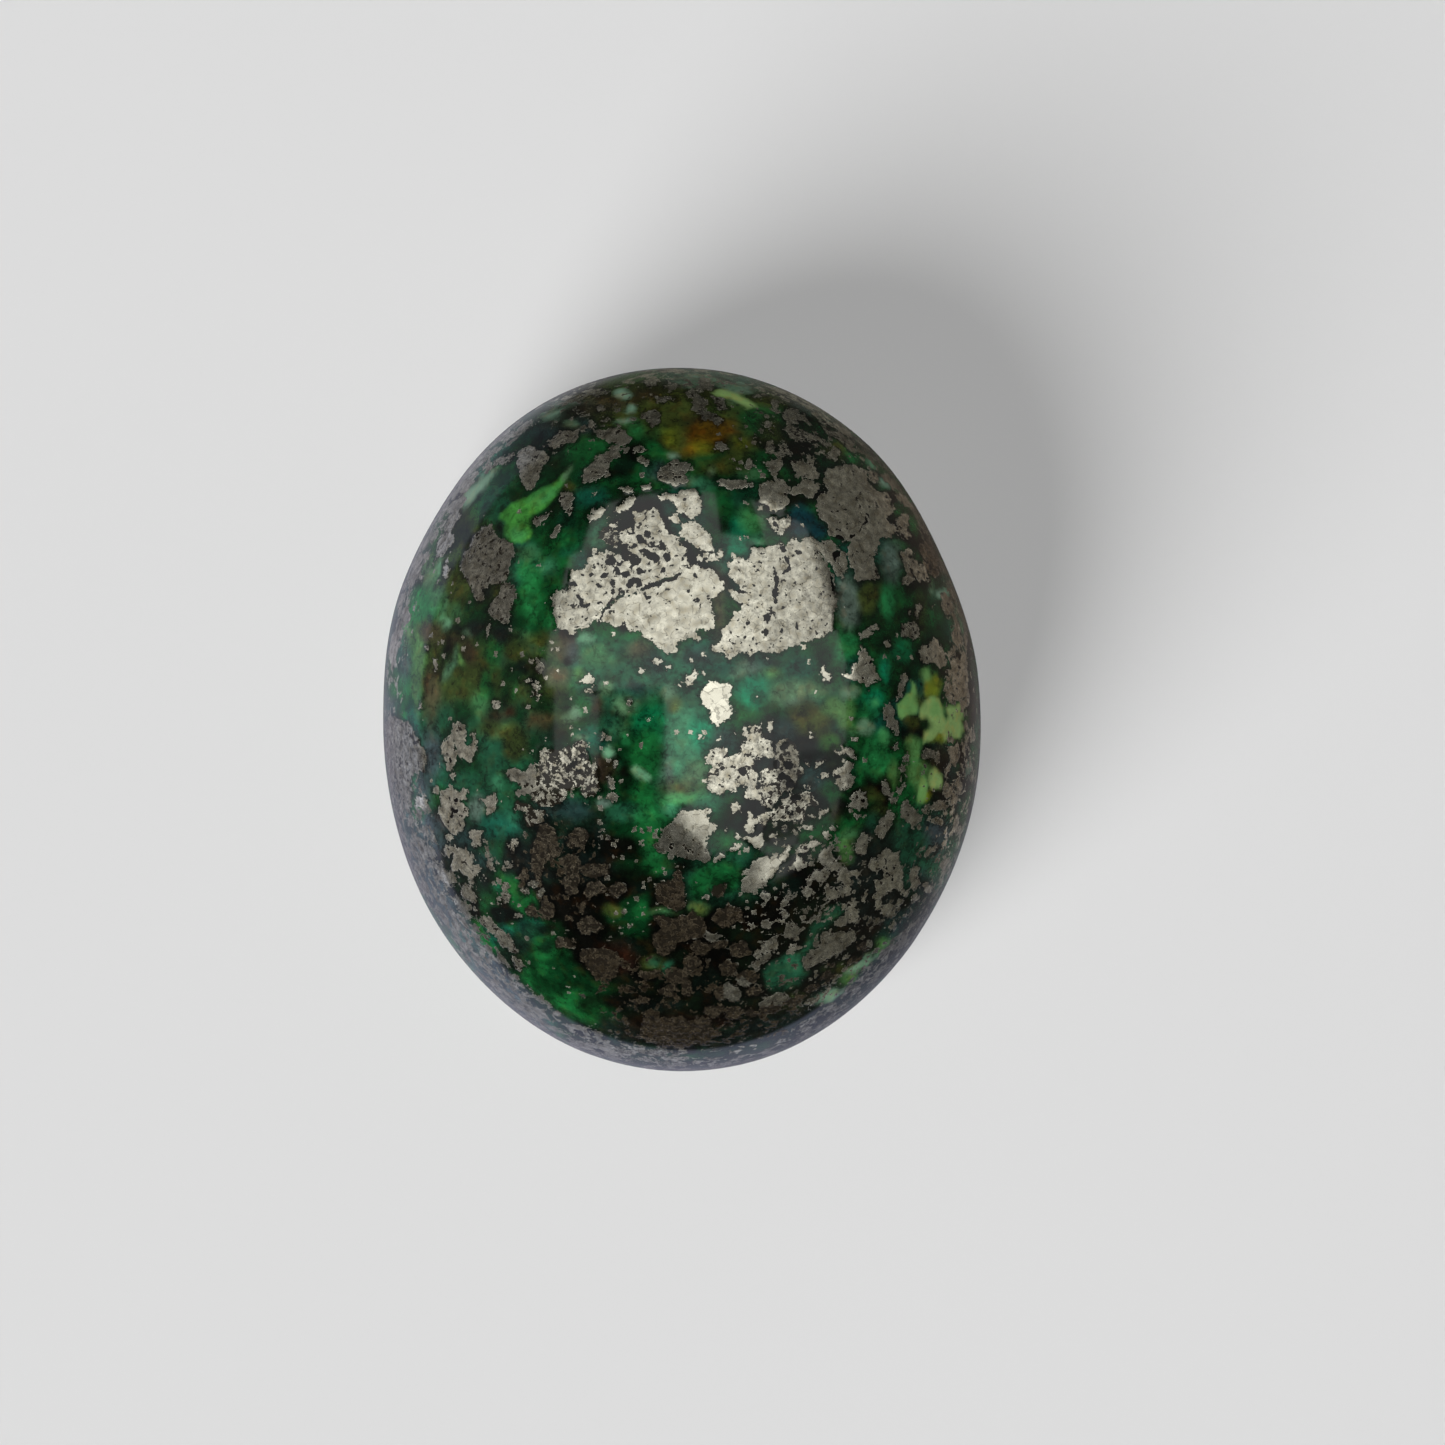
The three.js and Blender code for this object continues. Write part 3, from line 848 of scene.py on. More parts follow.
    "the bottom": """
    - DEEP 4 0.92: 511,926 526,945 533,956 548,960 563,956 577,963 585,974 596,985 592,993 577,987 563,993
    548,996 537,989 530,974 526,960 515,941; 618,904 629,897 648,895 650,909 666,911 668,915 650,921
    650,934 639,941 620,939 618,926 607,922 602,913 609,906
    - PINE 4 0.92: 762,973 771,963 787,956 799,950 811,936 815,938 813,948 803,963 807,973 795,985 779,993
    767,989
    - PINE 4 0.8: 526,940,5,18,-35; 807,936 826,912 838,903 846,908 834,924 818,936 810,944
    - DEEP 4 0.8: 604,990,16,8,-20
    - FOREST 4 0.7: 640,912,8,10; 540,968,6,8
    - DEEP 4 0.7: 564,960,12,6,-20; 620,915,10,8
    - OLIVE 4 0.6: 612,911,9,6
    - FERN 4 0.85: 664,912,9,3; 700,908,9,5
    - MILK 4 0.85: 793,962,9,12,30
    - DEEP 4 0.9: 565,984,11,7
    - INK 4 0.9: 625,948,12,8
    - BLACK 4 0.9: 618,1002,18,7
    - MOSS 6 0.8: 790,1002,18,6,15; 840,968,12,5
    - BLACK 6 0.8: 588,1004,11,7
    - OLIVE 4 0.9: 700,909,7,4
    - MOSS 4 0.9: 652,964,12,8
    - MILK 3 0.7: 653,962,7,5; 668,966,4,6,-30
    - LICHEN 4 0.8: 862,963,11,3,38
    - HERB 4 0.8: 846,981,13,4,35; 830,995,12,3,28; 884,945,9,6,40
    - SHADE 7 0.85: 500,968,40,14,48; 440,880,30,10,62; 656,1006,18,5
    - RUST 8 0.85: 670,1032,50,14; 610,960,20,14
    - SHADE 8 0.92: 590,1030 650,1052 720,1055 780,1040 830,1010 850,985 836,975 800,1005 740,1028 660,1034
    600,1016
    - SHADE 6 0.88: 500,985 540,1015 584,1038 604,1034 560,1008 520,975; 518,966,9,6,-40
    - BLACK 5 0.9: 547,930,13,8
    - FERN 4 0.85: 851,733,7,6
    - JADE 4 0.8: 758,539,7,5; 672,808,9,6
    - SLATE 5 0.8: 380,690 382,780 398,848 434,914 474,972 522,1026 560,1052 566,1044 536,1008 490,958
    450,900 420,838 404,780 398,700; 380,660 386,620 400,570 424,506 452,462 490,424 498,432 462,478
    436,524 416,574 400,640
    - SHADE 5 0.9: 560,1052 620,1072 690,1080 770,1072 840,1036 900,972 940,900 930,892 884,950 826,1006
    764,1046 690,1056 620,1044 566,1030
    - SHADE 4 0.8: 800,404,12,3,-25
    - CELADON 4 0.85: 632,409,4,4; 943,594,5,5; 830,996,10,3,28; 862,963,10,3,38
    - DEEP 4 0.85: 764,509,10,6; 925,723,5,6; 532,682,6,6
    - BLACK 4 0.9: 556,873,7,6
    - CELADON 3 0.85: 622,393,7,4
    - FOAM 3 0.85: 608,750,6,5
    - BLACK 4 0.85: 532,682,6,6; 568,660,5,5
    - SHADE 4 0.7: 466,532,8,13
    - ASH 3 0.8: 690,381,24,5; 738,387,18,6,-10
    - LEAF 3 0.8: 936,707,6,8
    - PALE_LIME 3 0.9: 936,779,5,9,15
    - INK 4 0.85: 545,947,9,6; 499,530,6,6
    - SAGE 3 0.8: 700,381,20,4; 734,386,14,4,-10; 830,996,8,3,28; 862,963,8,3,38
    - DEEP 4 0.85: 817,838,8,6
    """,
}


def blend(colour: np.ndarray, tint: Tint, share: np.ndarray) -> None:
    """Moves colours towards a tint by a share of the way, in place."""
    colour += (np.array(linear(tint.value)) - colour) * share[:, None]


@dataclass
class Inclusions:
    """Lumps of pyrite and colour all through the rock, which show where no marking is placed."""

    reach: float = 9.4  # how far from the middle they are strewn, in mm
    middle_height: float = 3.5  # of the block that they lie in, in mm
    grains: int = 420
    grain_sizes: tuple = (0.12, 1.2)  # least and largest radius in mm
    clouds: int = 260
    cloud_sizes: tuple = (0.4, 1.8)
    cloud_strength: float = 0.9
    cloud_skin: tuple = (0.6, 1.3)  # where a cloud thins out and where it ends, in half-sizes
    small_ones: float = 1.6  # how far the small ones outnumber the large ones
    stretch: tuple = (0.55, 1.25)  # half-sizes as shares of the radius
    tints: tuple = (
        Tint.INK, Tint.GREEN, Tint.BROWN, Tint.EMERALD, Tint.BLACK, Tint.TEAL, Tint.OLIVE,
        Tint.DEEP, Tint.MILK, Tint.BLACK, Tint.LIME,
    )

    def scatter(self, count: int, small: float, large: float, seed: int) -> Iterator[tuple]:
        """Strews lumps through the rock.

        Args:
            count: How many.
            small: Least radius in mm.
            large: Largest radius in mm.
            seed: Start of the random draws.

        Returns:
            The lumps, each as its middle, its half-sizes and its turn in radians.
        """
        draw = np.random.default_rng(seed)
        middle = draw.uniform(-1, 1, (count, 3)) * (self.reach, self.reach, self.reach / 2)
        middle[:, 2] += self.middle_height
        size = small * (large / small) ** (draw.random((count, 1)) ** self.small_ones)
        half = size * draw.uniform(*self.stretch, (count, 3))
        return zip(middle, half, draw.uniform(0, math.pi, count))


@dataclass
class Markings:
    """What the rock is where the polish cuts it: pyrite, rubble, grains and clouds of colour."""

    placed_from: tuple = (0.14, 0.26)  # rise of the normals between which the placed marks come in
    gnawing: tuple = (Wave(0.32, 3.0, 41.0), Wave(0.15, 2.3, 43.0))  # of the crusts' edges, in pixels
    drifting: tuple = (Wave(0.9, 4), Wave(0.3, 3, 7.3))  # of the clouds' edges, in pixels
    scattering: tuple = (Wave(0.6, 6, 61.0),)  # of the rubble's edges, in pixels
    bending: tuple = (Wave(0.8, 0.16, 5.0), Wave(0.3, 0.07, 9.0))  # of the strewn lumps, in mm
    crust_margin: float = 30.0  # how far round a crust its edge is measured, in pixels
    hole_margin: float = 3.0  # and round a hole
    soft_margin: float = 3.0  # and round a soft mark, as a multiple of its softness
    cut_slope: float = 2.0  # how much steeper the edge of a crack or a hole is than a crust's
    steepest: float = 0.15  # least rise of the normals by which a steep edge is widened
    edge_limit: float = 0.8  # how far from an edge it still counts, in mm
    edge_rim: float = 0.03  # how far round a crust its tone holds, in mm
    loose_broken: float = 0.25  # how pitted the pyrite is outside the placed crusts
    loose_grains: float = 0.04  # share of places with a loose grain where no row strews any
    wild_grains: float = 0.4  # the same at most where no marking is placed
    wild_patch: float = 2.2  # how far apart the patches of them are, in mm
    flank_rise: tuple = (0.36, 0.60)  # rise of the normals between which the flanks' rubble ends
    flank_rubble: float = 0.52  # share of the flanks that it covers, and how far that swings
    flank_swing: float = 0.50
    flank_waves: tuple = (Wave(1.6, 1.0, 51.0), Wave(0.6, 0.5, 57.0))  # what it swings with
    foot_rise: tuple = (0.05, 0.2)  # rise of the normals between which placed rubble begins
    rubble_limit: float = 0.8
    drifts: tuple = (  # in the ground colour: tint, raggedness, and the noise where it begins and is full
        (Tint.INK, 0.4, 0.0, 0.5), (Tint.TEAL, 0.4, 0.05, 0.5), (Tint.BLACK, 0.5, 0.15, 0.45),
    )

    def find(
        self, points: np.ndarray, normals: np.ndarray, pixels: np.ndarray, mm_per_px: float
    ) -> dict[str, np.ndarray]:
        """Works out what the rock is at each point of its surface.

        Args:
            points: The points in mm.
            normals: The surface's direction at each.
            pixels: Where the camera sees them.
            mm_per_px: Size of a pixel at the girdle.

        Returns:
            For each attribute its values: pyrite_edge in mm, and the rest from 0 up.
        """
        placed = smooth(normals[:, 2], *self.placed_from)
        edge, broken, tone_and_painted_light, cut = self.crusts(points, pixels)
        edge *= mm_per_px / np.sqrt(np.clip(normals[:, 2], self.steepest, 1))
        colour, pepper = self.clouds(points, pixels)
        blend(colour, Tint.BLACK, cut)
        wild_edge, wild_colour = self.wild(points)
        edge = edge * placed + wild_edge * (1 - placed)
        colour = colour * placed[:, None] + wild_colour * (1 - placed[:, None])
        rubble, rubble_tone_and_painted_light = self.rubble(points, normals, pixels)
        tone_and_painted_light = np.where(edge > -self.edge_rim, tone_and_painted_light, rubble_tone_and_painted_light)
        wild_pepper = self.wild_grains * smooth(wander(points, self.wild_patch, 3.1)[:, 0], 0.0, 0.6)
        return {
            "pyrite_edge": np.clip(edge, -self.edge_limit, self.edge_limit),
            "broken": broken,
            "tone_and_painted_light": tone_and_painted_light,
            "pepper": pepper * placed + wild_pepper * (1 - placed),
            "rubble": rubble,
            "body_colour": np.clip(colour, 0, 1),
        }

    def crusts(self, points: np.ndarray, pixels: np.ndarray) -> tuple[np.ndarray, ...]:
        """Lays the placed crusts of pyrite on the crown.

        Args:
            points: The points in mm.
            pixels: Where the camera sees them.

        Returns:
            The depth inside a crust in pixels, how broken the crust is, its tone, and where a
            crack or a hole lays bare the black rock under it.
        """
        nibbled = astray(pixels, points, self.gnawing)
        edge = np.full(len(points), -self.crust_margin)
        broken = np.full(len(points), self.loose_broken)
        tone_and_painted_light = np.ones(len(points))
        for settings, marks in rows_in(*CRUSTS.values()):
            pitted, bright = map(float, settings)
            for mark in marks:
                near, depth = mark.depth(nibbled, self.crust_margin)
                deeper = near[depth > edge[near]]
                broken[deeper] = pitted
                # the row's tone: painted shade where it is low, a painted highlight above 1.1
                tone_and_painted_light[deeper] = bright
                edge[near] = np.maximum(edge[near], depth)
        whole = edge.copy()
        for (half,), paths in rows_in(CRACKS):
            for path in paths:
                edge = np.minimum(edge, (path.path_gap(nibbled) - float(half)) * self.cut_slope)
        for mark in marks_in(HOLES):
            near, depth = mark.depth(nibbled, self.hole_margin)
            edge[near] = np.minimum(edge[near], -depth * self.cut_slope)
        return edge, broken, tone_and_painted_light, smooth(whole, -1.0, 0.5) * smooth(whole - edge, 0.0, 1.5)

    def clouds(self, points: np.ndarray, pixels: np.ndarray) -> tuple[np.ndarray, np.ndarray]:
        """Lays the placed clouds of colour on the crown.

        Args:
            points: The points in mm.
            pixels: Where the camera sees them.

        Returns:
            The linear colours and the share of loose grains.
        """
        strayed = astray(pixels, points, self.drifting)
        colour = self.ground_colour(points)
        for (tint, *settings), marks in rows_in(*CLOUDS.values()):
            soft, strength = map(float, settings)
            for mark in marks:
                near, depth = mark.depth(strayed, soft * self.soft_margin)
                share = np.zeros(len(points))
                share[near] = smooth(depth, -soft, soft) * strength
                blend(colour, Tint[tint], share)
        pepper = np.full(len(points), self.loose_grains)
        for settings, marks in rows_in(PEPPER):
            density, soft = map(float, settings)
            for mark in marks:
                near, depth = mark.depth(strayed, soft * self.soft_margin)
                pepper[near] = np.maximum(pepper[near], density * smooth(depth, -soft, soft))
        return colour, pepper

    def rubble(self, points: np.ndarray, normals: np.ndarray, pixels: np.ndarray) -> tuple:
        """Finds how much of the surface small broken pyrite takes up: most on the flanks.

        Args:
            points: The points in mm.
            normals: The surface's direction at each.
            pixels: Where the camera sees them.

        Returns:
            The covered share at each point, and the tone of its metal.
        """
        drift = astray(np.zeros((len(points), 1)), points, self.flank_waves)[:, 0]
        steep = 1 - smooth(normals[:, 2], *self.flank_rise)
        share = steep * (self.flank_rubble + self.flank_swing * drift)
        tone_and_painted_light = np.ones(len(points))
        strayed = astray(pixels, points, self.scattering)
        for settings, marks in rows_in(RUBBLE):
            density, soft, rubble_tone_and_painted_light = map(float, settings)
            for mark in marks:
                near, depth = mark.depth(strayed, soft * self.soft_margin)
                within = smooth(depth, -soft, soft) * smooth(normals[near, 2], *self.foot_rise)
                share[near] = np.maximum(share[near], density * within)
                # the rows' tones: painted shade at the bottom and a painted highlight at the right rim
                tone_and_painted_light[near] += (rubble_tone_and_painted_light - tone_and_painted_light[near]) * within
        return np.clip(share, 0.0, self.rubble_limit), tone_and_painted_light

    def ground_colour(self, points: np.ndarray) -> np.ndarray:
        """The green that lies between the clouds: deep, with darker and bluer drifts.

        Args:
            points: The points in mm.

        Returns:
            Linear colours, one row each.
        """
        drift = wander(points, 1.3, 11.0)
        fine = wander(points, 0.5, 23.0)
        colour = np.tile(np.array(linear(Tint.FOREST.value)), (len(points), 1))
        for axis, (tint, ragged, low, high) in enumerate(self.drifts):
            blend(colour, tint, smooth(drift[:, axis] + ragged * fine[:, axis], low, high))
        return colour

    def wild(self, points: np.ndarray) -> tuple[np.ndarray, np.ndarray]:
        """The rock's own grain where no marking is placed: lumps cut through by the surface.

        Args:
            points: The points in mm.

        Returns:
            The pyrite's edge in mm and the colours.
        """
        bent = astray(points, points, self.bending)
        strewn = Inclusions()
        edge = np.full(len(points), -self.edge_limit)
        colour = self.ground_colour(points)
        clouds = strewn.scatter(strewn.clouds, *strewn.cloud_sizes, SEED)
        for tint, (middle, half, turn) in zip(cycle(strewn.tints), clouds):
            share = 1 - smooth(self.lump(bent, middle, half, turn), *strewn.cloud_skin)
            blend(colour, tint, share * strewn.cloud_strength)
        for middle, half, turn in strewn.scatter(strewn.grains, *strewn.grain_sizes, SEED + 1):
            edge = np.maximum(edge, (1 - self.lump(bent, middle, half, turn)) * half.min())
        return edge, colour

    @staticmethod
    def lump(points: np.ndarray, middle: np.ndarray, half: np.ndarray, turn: float) -> np.ndarray:
        """How near points are to a lump's middle.

        Args:
            points: The points in mm.
            middle: The lump's middle.
            half: Its half-sizes.
            turn: Its turn about the vertical, in radians.

        Returns:
            0 at its middle, 1 on its skin and more outside it.
        """
        off = points - middle
        along = off[:, 0] * math.cos(turn) + off[:, 1] * math.sin(turn)
        aside = off[:, 1] * math.cos(turn) - off[:, 0] * math.sin(turn)
        return np.sqrt((along / half[0]) ** 2 + (aside / half[1]) ** 2 + (off[:, 2] / half[2]) ** 2)


# ---------------------------------------------------------------- the stone


@dataclass
class Cabochon:
    """The stone: an oval dome leaning a little over a flat ground base."""

    length: float = 18.0  # mm, as all that has no other unit
    width: float = 15.3
    girdle_height: float = 2.4
    dome_rise: float = 6.0
    base_share: float = 0.84  # the flat base as a share of the girdle
    bevel_height: float = 0.22
    bevel_share: float = 0.04
    lean_slope: float = 0.06  # fall of the dome's lean, in mm a mm
    lean_towards: float = 222.0  # the way that it falls, in degrees from +X
    swells: tuple = (  # where the outline departs from an oval: degrees from +X, reach in degrees, mm
        (120, 34, 0.12), (157, 24, 0.09), (218, 30, 0.04), (32, 24, -0.11), (340, 22, 0.03),
    )
    crown_facet: float = 0.064  # side of the mesh's triangles on the crown, in mm
    flank_facet: float = 0.094  # and where the dome falls off to the girdle
    flank_share: float = 0.84  # where the crown gives way to the flank
    flank_blend: float = 0.1  # and how gradually, as a share of the girdle
    least_points: int = 6  # on a level line
    profile_steps: int = 4000  # to measure the dome's profile in
    tuck_widening: float = 1.5  # how much coarser the mesh gets down the tuck
    base_widening: float = 1.7  # and on the base
    tuck_rings: int = 18
    base_rings: int = 30
    undulation: float = 0.016  # height of the swells that hand polishing leaves, in mm
    undulation_length: float = 3.4  # and how far apart they are
    relief: float = 0.004  # how far the hard pyrite stands proud of the softer turquoise
    relief_blur: float = 0.05  # half-width of the step up to it, in mm
    polished_from: tuple = (0.3, 1.4)  # heights between which the hand polish begins
    camera: TopCamera = field(default_factory=TopCamera)
    markings: Markings = field(default_factory=Markings)

    def girdle_radius(self, direction: np.ndarray) -> np.ndarray:
        """The girdle's distance from the middle.

        Args:
            direction: Angles in degrees from +X.

        Returns:
            Distances in mm.
        """
        angle = np.radians(direction)
        radius = 1 / np.hypot(np.cos(angle) / (self.width / 2), np.sin(angle) / (self.length / 2))
        for at, reach, out in self.swells:
            turn = np.abs((direction - at + 540) % 360 - 180)
            radius += out * (1 + np.cos(math.pi * np.minimum(1, turn / reach))) / 2
        return radius

    def ring(self, share: float, height: float, count: int) -> np.ndarray:
        """One level line of the stone.

        Args:
            share: Its distance from the middle as a share of the girdle's.
            height: Its height before the stone leans, in mm.
            count: How many points it has.

        Returns:
            The points in mm, one row each.
        """
        direction = np.arange(count) * 360 / count
        radius = share * self.girdle_radius(direction)
        flat = np.stack([np.cos(np.radians(direction)), np.sin(np.radians(direction))], axis=1)
        flat *= radius[:, None]
        low = math.radians(self.lean_towards)
        lean = self.lean_slope * (flat @ (math.cos(low), math.sin(low)))
        level = height - lean * min(1.0, height / self.girdle_height)
        return np.column_stack([flat, level])

    def levels(self) -> list[tuple[float, float, int]]:
        """Lists the stone's level lines from the apex to the middle of the base.

        Returns:
            For each its share of the girdle, its height in mm and its count of points.
        """
        tilts = np.linspace(0, math.pi / 2, self.profile_steps)
        mean = (self.length + self.width) / 4
        run = np.hypot(mean * np.gradient(np.sin(tilts)), self.dome_rise * np.gradient(np.cos(tilts)))
        coarse = smooth(np.sin(tilts), self.flank_share - self.flank_blend, 1.0)
        facets = self.crown_facet + (self.flank_facet - self.crown_facet) * coarse
        steps = np.cumsum(run / (facets * math.sqrt(3) / 2))
        rings = int(steps[-1])
        around = math.pi * (self.length + self.width) / 2
        found = [(0.0, self.girdle_height + self.dome_rise, 1)]
        for i in range(1, rings + 1):
            tilt = float(np.interp(i / rings * steps[-1], steps, tilts))
            facet = float(np.interp(tilt, tilts, facets))
            share = math.sin(tilt)
            height = self.girdle_height + self.dome_rise * math.cos(tilt)
            found.append((share, height, max(self.least_points, round(share * around / facet))))
        tuck = 1 - self.base_share - self.bevel_share
        for i in range(1, self.tuck_rings + 1):
            down = i / self.tuck_rings
            height = self.girdle_height - (self.girdle_height - self.bevel_height) * down
            count = round(around / self.flank_facet / (1 + (self.tuck_widening - 1) * down))
            found.append((1 - tuck * down * down, height, count))
        for i in range(self.base_rings):
            share = self.base_share * (1 - i / self.base_rings)
            count = round(share * around / self.flank_facet / self.base_widening)
            found.append((share, 0.0, max(self.least_points, count)))
        found.append((0.0, 0.0, 1))
        return found

    def mesh(self) -> tuple[np.ndarray, list[tuple[int, int, int]]]:
        """Builds the closed surface.

        Returns:
            The points in mm and the triangles.
        """
        levels = self.levels()
        rings = [self.ring(*level) for level in levels]
        starts = np.cumsum([0] + [len(ring) for ring in rings])
        faces = []
        for upper in range(len(rings) - 1):
            lower = upper + 1
            faces += self.stitch(starts[upper], len(rings[upper]), starts[lower], len(rings[lower]))
        return np.concatenate(rings), faces

    @staticmethod
    def stitch(first: int, count: int, second: int, other: int) -> list[tuple[int, int, int]]:
        """Joins two rings of points with triangles that face out.

        Args:
            first: Index of the upper ring's first point.
            count: How many points the upper ring has.
            second: Index of the lower ring's first point.
            other: How many points the lower ring has.

        Returns:
            The triangles.
        """
        faces = []
        i = j = 0
        first, second = int(first), int(second)
        uppers, lowers = (n if n > 1 else 0 for n in (count, other))  # a lone point has no sides
        while i < uppers or j < lowers:
            here, there = first + i % count, second + j % other
            if j < lowers and (i >= uppers or (j + 1) / other <= (i + 1) / count):
                faces.append((here, there, second + (j + 1) % other))
                j += 1
            else:
                faces.append((here, there, first + (i + 1) % count))
                i += 1
        return faces

    def normals(self, points: np.ndarray, faces: np.ndarray) -> np.ndarray:
        """Finds the surface's direction at each point.

        Args:
            points: The points in mm.
            faces: The triangles.

        Returns:
            Unit vectors, one row each.
        """
        corners = points[faces]
        flat = np.cross(corners[:, 1] - corners[:, 0], corners[:, 2] - corners[:, 0])
        total = np.zeros_like(points)
        for corner in range(3):
            np.add.at(total, faces[:, corner], flat)
        return total / np.linalg.norm(total, axis=1)[:, None]

    def build(self) -> bpy.types.Object:
        """Makes the stone with its markings and its finish.

        Returns:
            The stone's object.
        """
        points, faces = self.mesh()
        normals = self.normals(points, np.array(faces))
        pixels = self.camera.pixels(points, self.length, self.girdle_height)
        marks = self.markings.find(points, normals, pixels, self.camera.mm_per_px(self.length))
        polished = smooth(points[:, 2], *self.polished_from)
        swell = wander(points, self.undulation_length, 31.0)[:, 0] * self.undulation
        proud = smooth(marks["pyrite_edge"], -self.relief_blur, self.relief_blur) * self.relief
        points = points + normals * ((swell + proud) * polished)[:, None]

        data = bpy.data.meshes.new("polished_stone")
        data.from_pydata((points * MM).tolist(), [], faces)
        data.polygons.foreach_set("use_smooth", [True] * len(data.polygons))
        for name, values in marks.items():
            self.store(data, name, values)
        data.update()
        stone = stand("polished_stone", data)
        data.materials.append(PyriteTurquoise().build())
        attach(stone, "root")
        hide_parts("stone")
        log.info("polished_stone: %d points, %d triangles", len(points), len(faces))
        return stone

    @staticmethod
    def store(data: bpy.types.Mesh, name: str, values: np.ndarray) -> None:
        """Writes values to the mesh's points.

        Args:
            data: The mesh.
            name: The attribute's name.
            values: One number or one colour for each point.
        """
        if values.ndim == 1:
            layer = data.attributes.new(name, "FLOAT", "POINT")
            layer.data.foreach_set("value", values.astype(np.float32))
            return
        layer = data.attributes.new(name, "FLOAT_COLOR", "POINT")
        rgba = np.column_stack([values, np.ones(len(values))])
        layer.data.foreach_set("color", rgba.astype(np.float32).ravel())


# ---------------------------------------------------------------- finishes


MIX_FROM, MIX_TO, MIX_OUT = 6, 7, 2  # where a Mix node takes two colours and gives their mix
SHARE_FROM, SHARE_TO = 2, 3  # and where it takes two numbers


class Graph:
    """A material's or the world's node tree while it is being written."""

    def __init__(self, tree: bpy.types.NodeTree) -> None:
        """Starts from an empty tree."""
        self.tree = tree
        tree.nodes.clear()

    def add(self, kind: str, inputs: dict | tuple = (), out: str | int = 0, **settings) -> object:
        """Adds a node with its settings and links.

        Args:
            kind: The node's type, without the leading ShaderNode.
            inputs: A socket to link or a value to set for each input, by name or index, or in order.
            out: The output to hand back.
            **settings: The node's own properties.

        Returns:
            The output socket, or the node where it has none.
        """
        node = self.tree.nodes.new("ShaderNode" + kind)
        for name, value in settings.items():
            setattr(node, name, value)
        for name, source in inputs.items() if isinstance(inputs, dict) else enumerate(inputs):
            if isinstance(source, bpy.types.NodeSocket):
                self.tree.links.new(source, node.inputs[name])
            else:
                node.inputs[name].default_value = source
        return node.outputs[out] if len(node.outputs) else node


